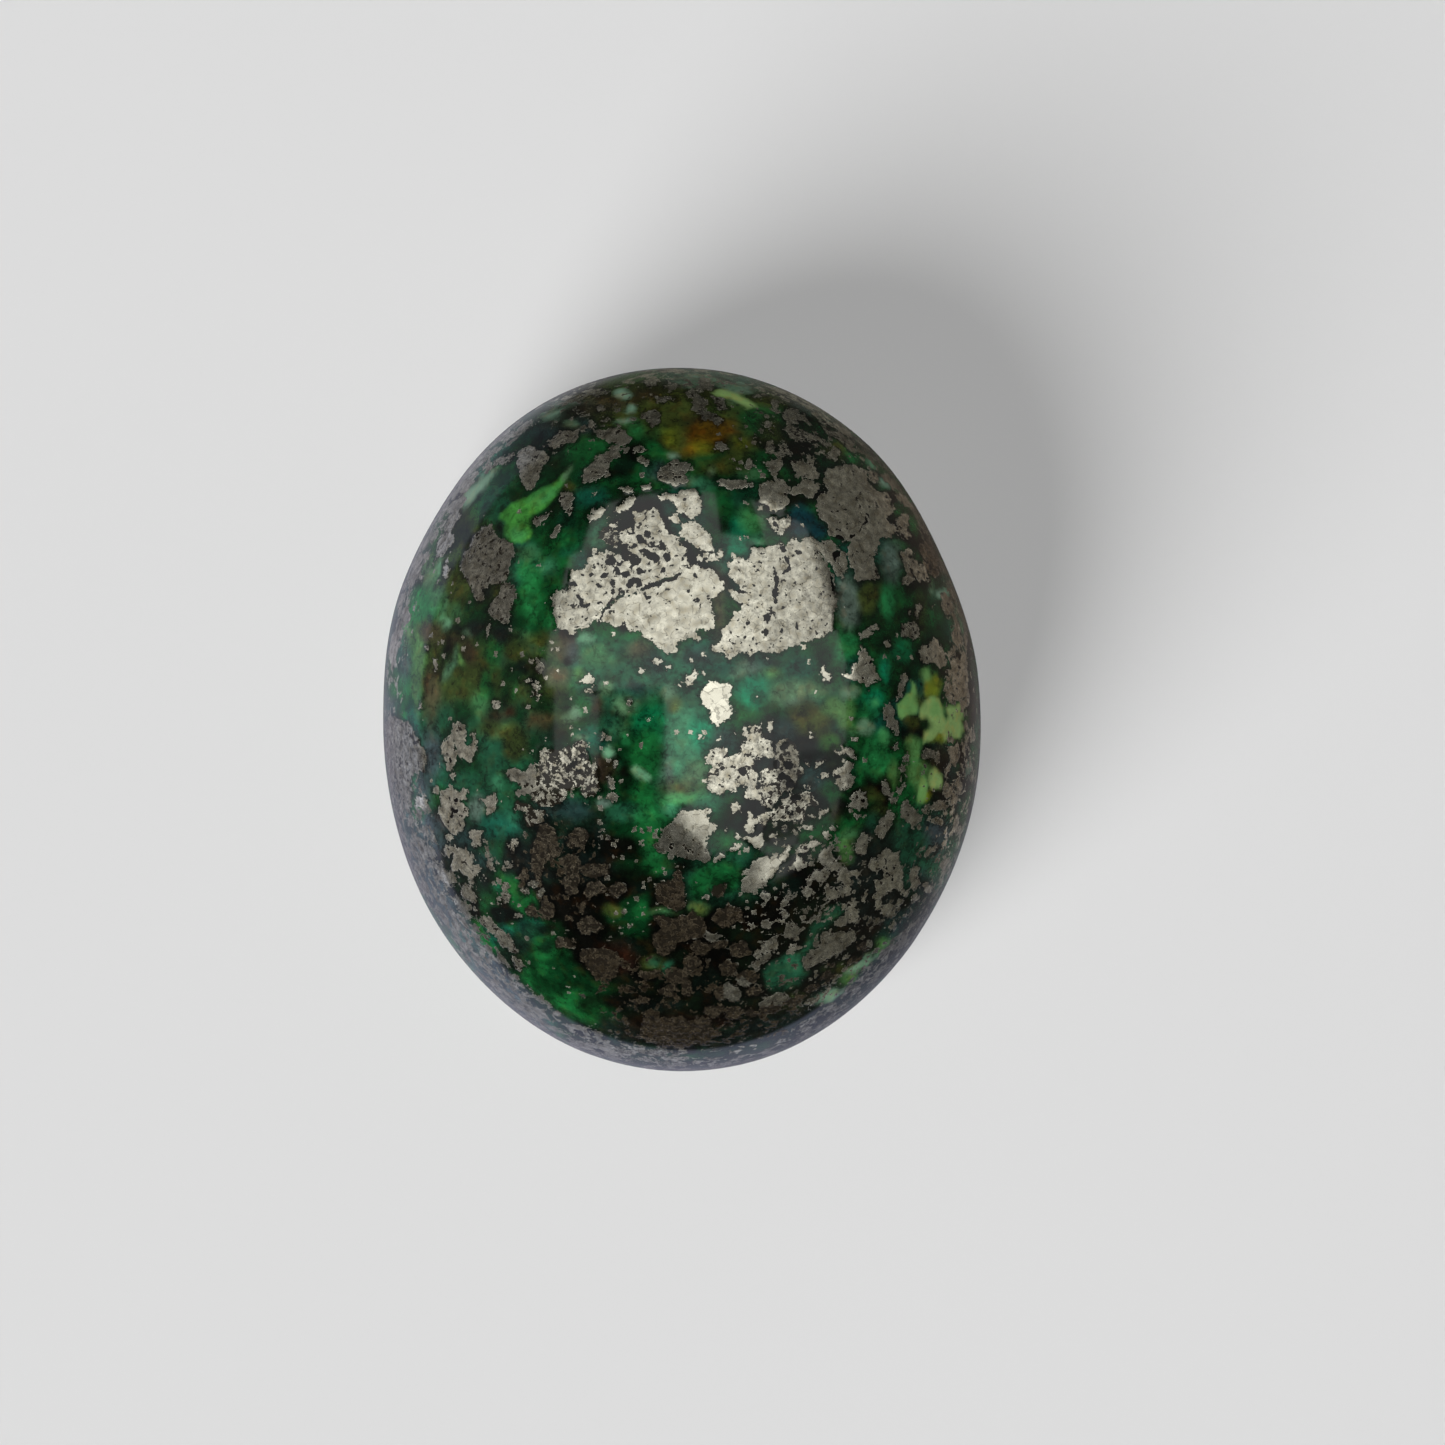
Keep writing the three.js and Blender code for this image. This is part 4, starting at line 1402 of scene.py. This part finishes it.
@dataclass(frozen=True)
class PyriteTurquoise:
    """Turquoise ground and polished on a felt wheel, with pyrite and black rock in it.

    The polish gives clear, dark reflections over cloudy green. The pyrite takes the same polish
    as bare metal, pale brass-grey, broken by tiny pits where grains were torn out.
    """

    index: float = 1.50  # turquoise's 1.61, less what its wax dressing takes
    polish: float = 0.08  # roughness of the turquoise
    metal_polish: float = 0.17  # and of the pyrite
    bare: float = 0.88  # how much of the pyrite's face is bare metal; the rest is dull with fine pits
    pyrite: str = "#CECBBA"
    crystal_tones: tuple = (0.84, 1.06)  # its brightness from crystal to crystal
    tarnish: str = "#8B8470"
    film: tuple = (1.15, 0.92, 0.72)  # how a brown film tints the darkest pyrite
    filmed: tuple = (0.22, 0.50)  # tones between which that film goes
    pit_rock: str = "#1E1A14"  # what the pits in the pyrite show
    rust: tuple = (1.9, 0.80, 0.60)  # how iron tints the turquoise
    rust_least: tuple = (0.012, 0.004, 0.0)  # and what it gives the black rock
    rust_most: float = 0.28  # how much of it there is at most
    ragged: float = 0.22  # wander of a crust's edge, in mm
    ragged_reach: float = 0.10  # and how far it goes, in mm
    chip: float = 0.075  # size of the smallest nicks in it, in mm
    chip_reach: float = 0.21
    edge_blur: float = 0.008  # half-width of a crust's edge, in mm
    pit: float = 0.19  # distance between the round pits, in mm
    pit_size: float = 0.25  # the largest pit's radius as a share of that
    pit_bend: tuple = (0.1, 0.1)  # distance between the pushes on its outline and their reach, in mm
    tear: float = 0.15  # size of the torn, winding pits, in mm
    tear_levels: tuple = (0.76, 0.36)  # the noise that tears them open, in whole and in broken pyrite
    crystal: float = 0.30  # width of a pyrite crystal, in mm
    crystal_bend: tuple = (0.1, 0.12)
    worn: float = 0.2  # size of the tarnished patches, in mm
    flaw: float = 0.10  # size of the dull flecks in its face, in mm
    flaw_strength: float = 8.0
    flaw_limits: tuple = (0.25, 1.5)  # the least and the most that they leave of its brightness
    fragment: float = 0.34  # size of the broken pyrite on the flanks, in mm
    fragment_levels: tuple = (0.76, 0.34)  # the noise that shows it, where it is rare and where close
    mottle: float = 0.50  # size of the clouds' inner mottling, in mm
    blotch: float = 0.20  # size of the blotches in them, in mm
    stain: float = 0.33  # size of the rusty stains, in mm
    vein_level: float = 0.47  # the noise along which a dark vein runs
    grit: float = 0.11  # size of the dark grit in the turquoise, in mm
    speck: float = 0.17  # distance between loose grains, in mm
    speck_sizes: tuple = (0.10, 0.40)  # their half-widths as shares of that
    speck_bend: tuple = (0.07, 0.11)
    grain: float = 0.12  # size of the grain in the pyrite's face, in mm
    grain_height: float = 0.0016  # mm
    elsewhere: tuple = (17.0, 5.0, 9.0)  # moves a pattern, so that it doesn't follow another

    def build(self) -> bpy.types.Material:
        """Makes the material.

        Returns:
            The material.
        """
        material = bpy.data.materials.new("polished_pyrite_turquoise")
        material.use_nodes = True
        g = Graph(material.node_tree)
        place = g.add("TexCoord", out="Object")
        place = g.add("VectorMath", {0: place, "Scale": 1 / MM}, operation="SCALE")
        metal, edge = self.pyrite_mask(g, place)
        body = self.body(g, place, edge)
        shine = self.metal_colour(g, place)
        colour = g.add("Mix", {
            "Factor": metal, MIX_FROM: body, MIX_TO: shine,
        }, out=MIX_OUT, data_type="RGBA")
        rough = g.add("MapRange", {"Value": metal, "To Min": self.polish, "To Max": self.metal_polish})
        height = self.relief(g, place, metal)
        bare = g.add("Math", (metal, self.bare), operation="MULTIPLY")
        shader = g.add("BsdfPrincipled", {
            "Base Color": colour, "Metallic": bare, "Roughness": rough, "IOR": self.index,
            "Normal": height,
        })
        g.add("OutputMaterial", {"Surface": shader})
        return material

    def bend(self, g: Graph, place: object, size: float, amount: float) -> object:
        """Pushes places about, so that cells drawn on them lose their straight sides.

        Args:
            g: The graph.
            place: The place in mm.
            size: Distance between the pushes in mm.
            amount: How far they push, in mm.

        Returns:
            The bent place.
        """
        push = g.add("TexNoise", {"Vector": place, "Scale": 1 / size, "Detail": 1.0}, out="Color")
        return g.add("VectorMath", (push, (amount,) * 3, place), operation="MULTIPLY_ADD")

    def pyrite_mask(self, g: Graph, place: object) -> tuple:
        """Decides where bare pyrite shows.

        Args:
            g: The graph.
            place: The place in mm.

        Returns:
            The mask from 0 to 1 and the crusts' edge in mm.
        """
        edge = g.add("Attribute", out="Fac", attribute_name="pyrite_edge")
        broken = g.add("Attribute", out="Fac", attribute_name="broken")
        pepper = g.add("Attribute", out="Fac", attribute_name="pepper")
        coarse = g.add("TexNoise", {"Vector": place, "Scale": 1 / self.ragged, "Detail": 1.0})
        fine = g.add("TexNoise", {"Vector": place, "Scale": 1 / self.chip, "Detail": 2.0})
        sway = g.add("Math", (coarse, 0.5), operation="SUBTRACT")
        sway = g.add("Math", (sway, self.ragged_reach, edge), operation="MULTIPLY_ADD")
        nick = g.add("Math", (fine, 0.5), operation="SUBTRACT")
        sway = g.add("Math", (nick, self.chip_reach, sway), operation="MULTIPLY_ADD")
        crust = g.add("MapRange", {"Value": sway, "From Min": -self.edge_blur, "From Max": self.edge_blur})

        # round pits, in about half of the cells, and winding tears
        cell = {"Vector": self.bend(g, place, *self.pit_bend), "Scale": 1 / self.pit}
        away = g.add("TexVoronoi", cell)
        pick = g.add("SeparateColor", {"Color": g.add("TexVoronoi", cell, out="Color")})
        size = g.add("MapRange", {"Value": pick, "From Min": 0.45, "To Max": self.pit_size})
        deep = g.add("MapRange", {"Value": broken, "From Max": 0.2})
        size = g.add("Math", (size, deep), operation="MULTIPLY")
        hole = g.add("Math", (size, away), operation="SUBTRACT")
        hole = g.add("MapRange", {"Value": hole, "From Min": 0.0, "From Max": 0.05})
        torn = g.add("TexNoise", {"Vector": place, "Scale": 1 / self.tear, "Detail": 2.0, "Roughness": 0.6})
        sound, shattered = self.tear_levels
        level = g.add("MapRange", {"Value": broken, "To Min": sound, "To Max": shattered})
        over = g.add("Math", (torn, level), operation="SUBTRACT")
        pitted = g.add("MapRange", {"Value": over, "From Min": 0.0, "From Max": 0.03})
        pitted = g.add("Math", (pitted, hole), operation="MAXIMUM")
        solid = g.add("Math", (1.0, pitted), operation="SUBTRACT")
        crust = g.add("Math", (crust, solid), operation="MULTIPLY")

        # loose grains, one in each cell that the density picks
        cell = {"Vector": self.bend(g, place, *self.speck_bend), "Scale": 1 / self.speck}
        away = g.add("TexVoronoi", cell, distance="CHEBYCHEV")
        parts = g.add("TexVoronoi", cell, out="Color", distance="CHEBYCHEV")
        parts = g.add("SeparateColor", {"Color": parts}).node
        sown = g.add("Math", (parts.outputs[0], pepper), operation="LESS_THAN")
        least, most = self.speck_sizes
        size = g.add("MapRange", {"Value": parts.outputs[1], "To Min": least, "To Max": most})
        grain = g.add("Math", (size, away), operation="SUBTRACT")
        grain = g.add("MapRange", {"Value": grain, "From Min": -0.03, "From Max": 0.03})
        grain = g.add("Math", (grain, sown), operation="MULTIPLY")
        crust = g.add("Math", (crust, grain), operation="MAXIMUM")

        # splinters, drawn coarser than they are
        rubble = g.add("Attribute", out="Fac", attribute_name="rubble")
        bits = {"Scale": 1 / self.fragment, "Detail": 4.0, "Roughness": 0.68, "Distortion": 0.3}
        bits = g.add("TexNoise", {"Vector": place, **bits})
        rare, close = self.fragment_levels
        level = g.add("MapRange", {"Value": rubble, "To Min": rare, "To Max": close})
        bits = g.add("Math", (bits, level), operation="SUBTRACT")
        bits = g.add("MapRange", {"Value": bits, "From Min": -0.008, "From Max": 0.012})
        return g.add("Math", (crust, bits), operation="MAXIMUM"), sway

    def body(self, g: Graph, place: object, edge: object) -> object:
        """Colours the turquoise and the rock between the pyrite.

        Args:
            g: The graph.
            place: The place in mm.
            edge: The crusts' edge in mm.

        Returns:
            The colour.
        """
        cloud = g.add("Attribute", out="Color", attribute_name="body_colour")
        mottle = {"Scale": 1 / self.mottle, "Detail": 5.0, "Roughness": 0.6}
        mottle = g.add("TexNoise", {"Vector": place, **mottle})
        blotch = {"Scale": 1 / self.blotch, "Detail": 3.0, "Roughness": 0.55, "Distortion": 0.6}
        blotch = g.add("TexNoise", {"Vector": place, **blotch})
        moved = g.add("VectorMath", (place, self.elsewhere), operation="ADD")
        warm = g.add("TexNoise", {"Vector": moved, "Scale": 1 / self.stain, "Detail": 3.0})
        grit = g.add("TexNoise", {"Vector": moved, "Scale": 1 / self.grit, "Detail": 2.0, "Roughness": 0.6})
        rust = g.add("VectorMath", (cloud, self.rust), operation="MULTIPLY")
        rust = g.add("VectorMath", (rust, self.rust_least), operation="ADD")
        share = {"Value": warm, "From Min": 0.52, "From Max": 0.66, "To Max": self.rust_most}
        cloud = g.add("Mix", {
            "Factor": g.add("MapRange", share), MIX_FROM: cloud, MIX_TO: rust,
        }, out=MIX_OUT, data_type="RGBA")
        # what shades the clouds, its low and high value, and the brightness that each of them gives
        shades = [
            (mottle, 0.30, 0.70, 0.45, 1.60),  # light and dark within each cloud
            (blotch, 0.54, 0.64, 1.0, 0.60),  # dark blotches
            (blotch, 0.34, 0.44, 1.35, 1.0),  # and light ones
            (grit, 0.60, 0.70, 1.0, 0.62),
            (edge, -0.05, 0.0, 1.0, 0.45),  # a dark line round each crust
        ]
        line = g.add("Math", (warm, self.vein_level), operation="SUBTRACT")
        line = g.add("Math", (line,), operation="ABSOLUTE")
        gap = g.add("MapRange", {
            "Value": mottle, "From Min": 0.40, "From Max": 0.56, "To Min": -0.02, "To Max": 0.05,
        })
        line = g.add("Math", (line, gap), operation="ADD")
        shades.append((line, 0.0, 0.018, 0.62, 1.0))  # veins that come and go
        halo = g.add("Math", (mottle, -0.30, edge), operation="MULTIPLY_ADD")
        shades.append((halo, -0.30, -0.20, 1.0, 0.52))  # a broad shade round each crust
        # the palest clouds are clear of most of this
        clear = g.add("MapRange", {
            "Value": g.add("RGBToBW", {"Color": cloud}), "From Min": 0.10, "From Max": 0.26, "To Max": 0.8,
        })
        for value, low, high, least, most in shades:
            share = g.add("MapRange", {
                "Value": value, "From Min": low, "From Max": high, "To Min": least, "To Max": most,
            })
            share = g.add("Mix", {"Factor": clear, SHARE_FROM: share, SHARE_TO: 1.0})
            cloud = g.add("VectorMath", {0: cloud, "Scale": share}, operation="SCALE")
        within = g.add("MapRange", {"Value": edge, "From Max": 0.03, "To Max": 0.9})
        return g.add("Mix", {
            "Factor": within, MIX_FROM: cloud, MIX_TO: (*linear(self.pit_rock), 1),
        }, out=MIX_OUT, data_type="RGBA")

    def metal_colour(self, g: Graph, place: object) -> object:
        """Colours the pyrite crystal by crystal.

        Args:
            g: The graph.
            place: The place in mm.

        Returns:
            The colour.
        """
        tone_and_painted_light = g.add("Attribute", out="Fac", attribute_name="tone_and_painted_light")
        cell = {"Vector": self.bend(g, place, *self.crystal_bend), "Scale": 1 / self.crystal}
        crystal = g.add("SeparateColor", {"Color": g.add("TexVoronoi", cell, out="Color")})
        seam = g.add("TexVoronoi", cell, feature="DISTANCE_TO_EDGE")
        stain = g.add("TexNoise", {
            "Vector": place, "Scale": 1 / self.worn, "Detail": 3.0, "Roughness": 0.6,
        })
        worn = g.add("MapRange", {"Value": stain, "From Min": 0.45, "From Max": 0.74})
        broken = g.add("Attribute", out="Fac", attribute_name="broken")
        clean = g.add("MapRange", {"Value": broken, "From Max": 0.15, "To Min": 0.25})
        worn = g.add("Math", (worn, clean), operation="MULTIPLY")
        colour = g.add("Mix", {
            "Factor": worn, MIX_FROM: (*linear(self.pyrite), 1), MIX_TO: (*linear(self.tarnish), 1),
        }, out=MIX_OUT, data_type="RGBA")
        dark, light = self.crystal_tones
        bright = g.add("MapRange", {"Value": crystal, "To Min": dark, "To Max": light})
        width = g.add("MapRange", {
            "Value": stain, "From Min": 0.44, "From Max": 0.56, "To Min": -0.02, "To Max": 0.03,
        })
        seam = g.add("Math", (seam, width), operation="SUBTRACT")
        seam = g.add("MapRange", {"Value": seam, "From Max": 0.03, "To Min": 0.6, "To Max": 1.0})
        flaw = g.add("TexNoise", {"Vector": place, "Scale": 1 / self.flaw, "Detail": 3.0, "Roughness": 0.6})
        flaw = g.add("Math", (flaw, 0.49), operation="SUBTRACT")
        broken = g.add("Math", (broken, self.flaw_strength), operation="MULTIPLY")
        flaw = g.add("Math", (flaw, broken, 1.0), operation="MULTIPLY_ADD")
        least, most = self.flaw_limits
        flaw = g.add("Clamp", {"Value": flaw, "Min": least, "Max": most})
        # the tone darkens the metal as painted shade where it is low and brightens it as a painted
        # highlight where it is high
        for share in (bright, seam, flaw, tone_and_painted_light):
            colour = g.add("VectorMath", {0: colour, "Scale": share}, operation="SCALE")
        brown = g.add("VectorMath", (colour, self.film), operation="MULTIPLY")
        low, high = self.filmed
        filmed = g.add("MapRange", {
            "Value": tone_and_painted_light, "From Min": low, "From Max": high, "To Min": 1.0, "To Max": 0.0,
        })
        return g.add("Mix", {
            "Factor": filmed, MIX_FROM: colour, MIX_TO: brown,
        }, out=MIX_OUT, data_type="RGBA")

    def relief(self, g: Graph, place: object, metal: object) -> object:
        """Raises the pyrite a hair above the turquoise and gives its crystals a grain.

        Args:
            g: The graph.
            place: The place in mm.
            metal: Where bare pyrite shows.

        Returns:
            The surface's direction.
        """
        grain = g.add("TexNoise", {"Vector": place, "Scale": 1 / self.grain, "Detail": 2.0})
        grain = g.add("Math", (grain, metal), operation="MULTIPLY")
        height = g.add("Math", (grain, 0.5, metal), operation="MULTIPLY_ADD")
        return g.add("Bump", {"Height": height, "Strength": 1.0, "Distance": self.grain_height * MM})


@dataclass(frozen=True)
class PaleBoard:
    """Matt white card: an even, soft grey-white with no shine."""

    colour: str = "#E0E0E0"
    shade: str = "#DFDFDF"
    drifts: float = 60.0  # how many times its shade swings in a metre
    roughness: float = 0.9

    def build(self) -> bpy.types.Material:
        """Makes the material.

        Returns:
            The material.
        """
        material = bpy.data.materials.new("matt_card")
        material.use_nodes = True
        g = Graph(material.node_tree)
        place = g.add("TexCoord", out="Object")
        drift = g.add("TexNoise", {"Vector": place, "Scale": self.drifts, "Detail": 3.0})
        colour = g.add("Mix", {
            "Factor": drift, MIX_FROM: (*linear(self.colour), 1), MIX_TO: (*linear(self.shade), 1),
        }, out=MIX_OUT, data_type="RGBA")
        shader = g.add("BsdfPrincipled", {
            "Base Color": colour, "Roughness": self.roughness, "Specular IOR Level": 0.0,
        })
        g.add("OutputMaterial", {"Surface": shader})
        return material


# ---------------------------------------------------------------- table and light


def aim(azimuth: float, elevation: float) -> Vector:
    """Turns two angles in degrees, from +X and from level, to a unit vector."""
    turn, rise = math.radians(azimuth), math.radians(elevation)
    return Vector((math.cos(turn) * math.cos(rise), math.sin(turn) * math.cos(rise), math.sin(rise)))


@dataclass(frozen=True)
class RoundLamp:
    """A far round lamp with a soft edge to its shadow."""

    name: str
    azimuth: float  # degrees from +X
    elevation: float  # degrees above the table
    width: float  # how wide it looks from the stone, in degrees
    floor_light: float  # what it gives a level floor, in watts a square metre
    distance: float = 2500.0  # mm

    def build(self) -> None:
        """Adds the lamp, out of sight of the polish."""
        away = aim(self.azimuth, self.elevation)
        half = math.radians(self.width / 2)
        data = bpy.data.lights.new(self.name, "AREA")
        data.shape = "DISK"
        data.size = 2 * self.distance * MM * math.tan(half)
        rise = math.sin(math.radians(self.elevation))
        radiance = self.floor_light / (math.pi * math.sin(half) ** 2 * rise)
        data.energy = radiance * math.pi * math.pi * (data.size / 2) ** 2
        lamp = stand(self.name, data)
        lamp.location = away * self.distance * MM
        lamp.rotation_mode = "QUATERNION"
        lamp.rotation_quaternion = away.to_track_quat("Z", "Y")
        lamp.visible_glossy = False
        lamp.visible_camera = False


@dataclass(frozen=True)
class Panel:
    """A level lit panel overhead that only the polish shows, as a window would be."""

    name: str
    left: float  # mm from the stone's middle
    right: float
    near: float
    far: float
    radiance: float
    height: float = 208.0  # mm above the table

    def build(self) -> None:
        """Adds the panel."""
        data = bpy.data.lights.new(self.name, "AREA")
        data.shape = "RECTANGLE"
        data.size = (self.right - self.left) * MM
        data.size_y = (self.far - self.near) * MM
        data.energy = self.radiance * math.pi * data.size * data.size_y
        lamp = stand(self.name, data)
        middle = ((self.left + self.right) / 2, (self.near + self.far) / 2, self.height)
        lamp.location = Vector(middle) * MM
        lamp.visible_diffuse = False
        lamp.visible_camera = False


@dataclass(frozen=True)
class Glow:
    """A soft bright side of the room."""

    azimuth: float  # degrees from +X
    elevation: float  # degrees above level
    spread: float  # degrees from its middle to where it has gone
    colour: tuple[float, float, float]


@dataclass
class Studio:
    """A pale table in a dim room, with a soft key lamp, a fill and lit panels overhead."""

    table_side: float = 900.0  # mm
    lamps: tuple = (
        RoundLamp("key", 228, 28, 38, 1.56),
        RoundLamp("fill", 0, 90, 5, 1.47),
    )
    panels: tuple = (
        Panel("far_left_panel", -184, 36, 185, 297, 1.05),
        Panel("far_right_panel", 112, 255, 185, 297, 1.05),
        Panel("back_left_panel", -214, 36, 10, 185, 1.05),
        Panel("back_right_panel", 36, 255, 10, 185, 1.05),
        Panel("right_panel", -35, 90, -85, 10, 1.0),
        Panel("outer_panel", 90, 240, -45, 10, 0.80),
        Panel("outer_end_panel", 90, 240, -85, -45, 0.45),
        Panel("front_panel", 12, 84, -140, -85, 0.88),
        Panel("front_side_panel", 84, 150, -140, -85, 0.30),
        Panel("front_end_panel", 150, 240, -140, -85, 0.55),
        Panel("near_panel", 95, 150, -209, -140, 1.0),
        Panel("near_end_panel", 150, 240, -209, -140, 0.40),
        Panel("corner_panel", -14, 12, -112, -85, 1.0),
        Panel("left_panel", -196, -116, -45, 10, 0.85),
        Panel("side_panel", -245, -116, -90, -45, 0.65),
        Panel("middle_panel", -20, 50, -10, 45, 0.40),
    )
    room: tuple[float, float, float] = (0.034, 0.035, 0.029)  # radiance of its dim walls
    glows: tuple = (
        Glow(187, 4, 50, (0.13, 0.12, 0.125)),
        Glow(38, 0, 50, (0.07, 0.065, 0.060)),
        Glow(139, -6, 42, (0.05, 0.045, 0.045)),
        Glow(7, -42, 42, (0.11, 0.08, 0.065)),
        Glow(311, 1, 38, (0.05, 0.045, 0.035)),
        Glow(86, -58, 24, (0.12, 0.115, 0.10)),
        Glow(150, -57, 26, (0.42, 0.44, 0.52)),
        Glow(336, -56, 25, (0.09, 0.10, 0.12)),
    )
    sheet: tuple[float, float, float] = (0.51, 0.55, 0.75)  # radiance of the pale sheet under the stone
    sheet_foot: tuple[float, float, float] = (0.30, 0.29, 0.36)  # and close to the stone's foot
    sheet_azimuth: float = 226.0  # where the sheet reaches furthest
    sheet_sides: tuple[float, float] = (-0.25, 0.35)  # cosines from there, between which it begins
    sheet_horizon: float = -0.34  # sine of the elevation of its far edge
    sheet_blur: float = 0.05  # how soft that edge is
    sheet_lean: tuple[float, float] = (0.05, -0.18)  # and how it dips to one side

    def build(self) -> None:
        """Adds the table, the room and the lamps."""
        half = self.table_side / 2 * MM
        data = bpy.data.meshes.new("table")
        corners = [(-half, -half, 0), (half, -half, 0), (half, half, 0), (-half, half, 0)]
        data.from_pydata(corners, [], [(0, 1, 2, 3)])
        data.materials.append(PaleBoard().build())
        table = stand("table", data)
        table.visible_glossy = False
        for lamp in (*self.lamps, *self.panels):
            lamp.build()
        self.light_room()
        bpy.context.scene.view_settings.view_transform = "Standard"

    def light_room(self) -> None:
        """Gives the room its dim, uneven light, which only the polish shows."""
        world = bpy.data.worlds.new("room")
        world.use_nodes = True
        world.cycles_visibility.diffuse = False
        bpy.context.scene.world = world
        g = Graph(world.node_tree)
        way = g.add("TexCoord", out="Generated")
        total = g.add("Mix", {"Factor": 0.0, MIX_FROM: (*self.room, 1)}, out=MIX_OUT, data_type="RGBA")
        for glow in self.glows:
            middle = aim(glow.azimuth, glow.elevation)
            near = g.add("VectorMath", (way, middle), out="Value", operation="DOT_PRODUCT")
            share = g.add("MapRange", {
                "Value": near, "From Min": math.cos(math.radians(glow.spread)), "From Max": 1.0,
            }, interpolation_type="SMOOTHSTEP")
            lit = g.add("VectorMath", {0: glow.colour, "Scale": share}, operation="SCALE")
            total = g.add("VectorMath", (total, lit), operation="ADD")
        up, ahead = (*self.sheet_lean, 1.0), aim(self.sheet_azimuth, 0.0)
        height = g.add("VectorMath", (way, up), out="Value", operation="DOT_PRODUCT")
        towards = g.add("VectorMath", (way, ahead), out="Value", operation="DOT_PRODUCT")
        behind, before = self.sheet_sides
        side = g.add("MapRange", {"Value": towards, "From Min": behind, "From Max": before})
        edge = self.sheet_horizon
        below = g.add("MapRange", {"Value": height, "From Min": edge, "From Max": edge - self.sheet_blur})
        share = g.add("Math", (side, below), operation="MULTIPLY")
        foot = g.add("MapRange", {"Value": height, "From Min": edge, "From Max": -1.0})
        sheet = g.add("Mix", {
            "Factor": foot, MIX_FROM: (*self.sheet, 1), MIX_TO: (*self.sheet_foot, 1),
        }, out=MIX_OUT, data_type="RGBA")
        total = g.add("Mix", {
            "Factor": share, MIX_FROM: total, MIX_TO: sheet,
        }, out=MIX_OUT, data_type="RGBA")
        shader = g.add("Background", {"Color": total, "Strength": 1.0})
        g.add("OutputWorld", {"Surface": shader})


def main() -> None:
    """Builds the table and lights, the camera and the stone."""
    logging.basicConfig(level=logging.INFO, format="%(name)s: %(message)s")
    noise.seed_set(SEED)  # or the wandering would differ from run to run
    stone = Cabochon()
    stone.camera.build(stone.length, stone.girdle_height)
    Studio().build()
    stone.build()


if __name__ == "__main__":
    main()
